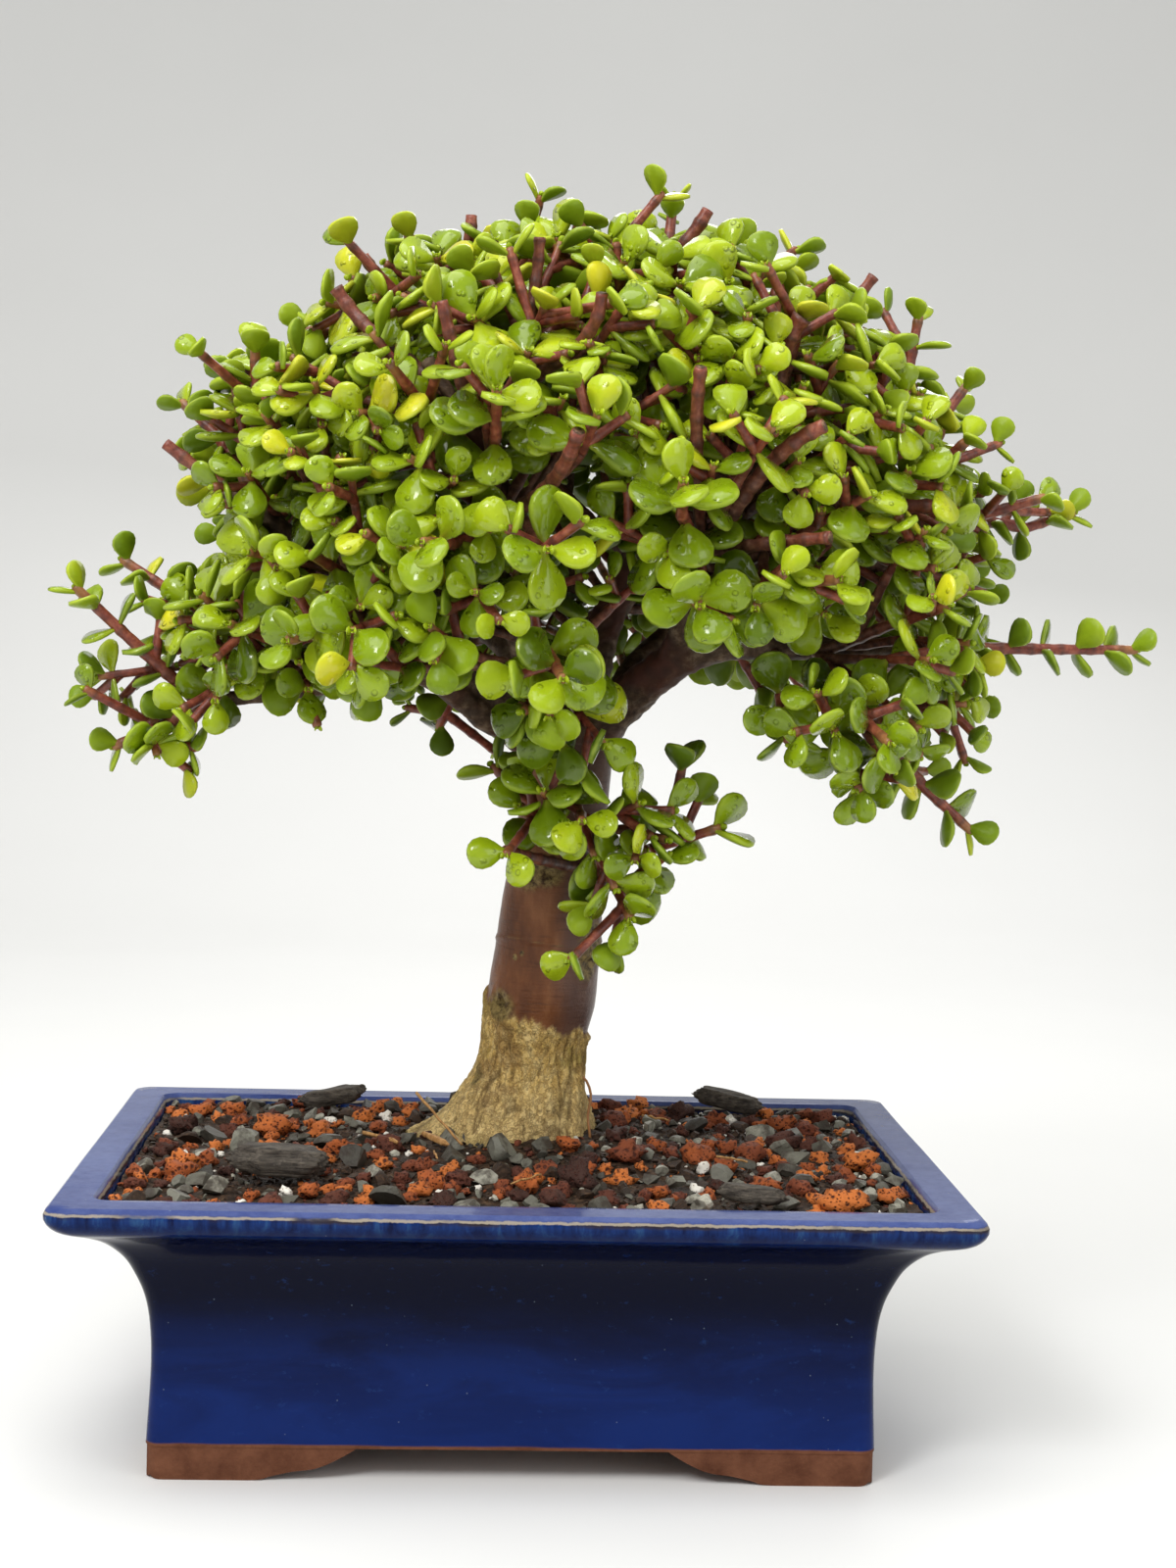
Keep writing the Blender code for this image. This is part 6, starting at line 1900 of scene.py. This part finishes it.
# the undersides are painted darker: painted shade
green = (upper.rise(0.45, 0.15) * 0.35).blend(green, (0.110, 0.185, 0.018))
dots = place.cells(760.0).rise(0.20, 0.08) * place.noise(130.0).rise(0.58, 0.66)
green = (dots * 0.5).blend(green, (0.130, 0.085, 0.020))
wet = place.noise(52.0, 2).rise(0.34, 0.50) * upper.rise(0.5, 0.8)
drops = place.cells(340.0).rise(0.36, 0.16) * wet * place.noise(210.0, 2).rise(0.44, 0.52)
swell = place.noise(150.0, 2)
skin = swell.bump(0.30, 0.0012)
shade(leaf_green, {
    "Base Color": green,
    "Roughness": 0.36 + (fine - 0.5) * 0.16 - wet * 0.16 - drops * 0.10,
    "Coat Weight": wet,
    "Normal": drops.bump(0.85, 0.0007, over=skin),
})

for number, shoot in enumerate(shoots):
    leafy = Gathered()
    add_spray(leafy, shoot, random.Random(SPRAY_SEED + number))
    spray = leafy.piece("leafy_" + shoot.name, [young_bark, leaf_green])
    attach(spray, "root")
    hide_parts("spray_" + shoot.name)

regions = {}
for number, shoot in enumerate(extra):
    tip = shoot.main.route[-1]
    side = "left" if tip.x < CROWN_CENTRE[0] * MM else "right"
    depth = "front" if tip.y < CROWN_CENTRE[1] * MM else "back"
    layer = "upper" if tip.z > UPPER_CROWN_Z else "lower"
    leafy = regions.setdefault(f"crown_{depth}_{side}_{layer}", Gathered())
    add_spray(leafy, shoot, random.Random(CROWN_SEED + number))
for name, leafy in regions.items():
    growth = leafy.piece(name, [young_bark, leaf_green])
    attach(growth, "root")


# A pale floor that curves up behind, and a soft, even light, as in a small studio.
FLOOR_SIDE, FLOOR_STEPS = 6.0, 60
RISE_FROM, RISE_TO, RISE_CURVE = 1.1, 2.4, 0.9

start_afresh()
bpy.ops.mesh.primitive_grid_add(x_subdivisions=FLOOR_STEPS, y_subdivisions=FLOOR_STEPS, size=1)
floor = bpy.context.object
floor.name = "studio_floor"
for vert in floor.data.vertices:
    x, y = vert.co.x * FLOOR_SIDE, vert.co.y * FLOOR_SIDE
    rise = max(y - RISE_FROM, 0.0)
    vert.co = (x, min(y, RISE_TO), rise**2 * RISE_CURVE)
pale, place, _ = new_finish("pale_floor", {"IOR": 1.4})
shade(pale, {
    "Base Color": place.noise(2.0, 3).ramp((0.3, (0.78, 0.78, 0.77)), (0.7, (0.81, 0.81, 0.80))),
    "Roughness": place.noise(30.0, 3) * 0.1 + 0.55,
})
dress(floor, pale)
floor.data.shade_smooth()

LIGHTS = (
    # name, place, size, watts and colour
    ("overhead", (-0.25, -0.35, 1.25), 1.1, 13.0, (1.0, 0.99, 0.97)),
    ("front_left", (-0.75, -1.05, 1.15), 0.40, 10.0, (1.0, 1.0, 1.0)),
    ("front_right", (1.2, -0.9, 0.7), 0.9, 5.0, (0.96, 0.98, 1.0)),
    ("back", (0.2, 1.3, 1.0), 0.9, 6.0, (1.0, 1.0, 1.0)),
)
AIM = Vector((0.0, 0.0, 0.18))
for name, spot, size, watts, tone in LIGHTS:
    lamp = bpy.data.lights.new(name, "AREA")
    lamp.size, lamp.energy, lamp.color = size, watts, tone
    lamp_object = bpy.data.objects.new(name, lamp)
    lamp_object.location = spot
    lamp_object.rotation_euler = (AIM - Vector(spot)).to_track_quat("-Z", "Y").to_euler()
    bpy.context.scene.collection.objects.link(lamp_object)
world = bpy.data.worlds.new("soft_sky")
world.use_nodes = True
world.node_tree.nodes["Background"].inputs["Color"].default_value = (0.92, 0.92, 0.90, 1.0)
world.node_tree.nodes["Background"].inputs["Strength"].default_value = 0.62
bpy.context.scene.world = world
bpy.context.scene.view_settings.view_transform = "Standard"
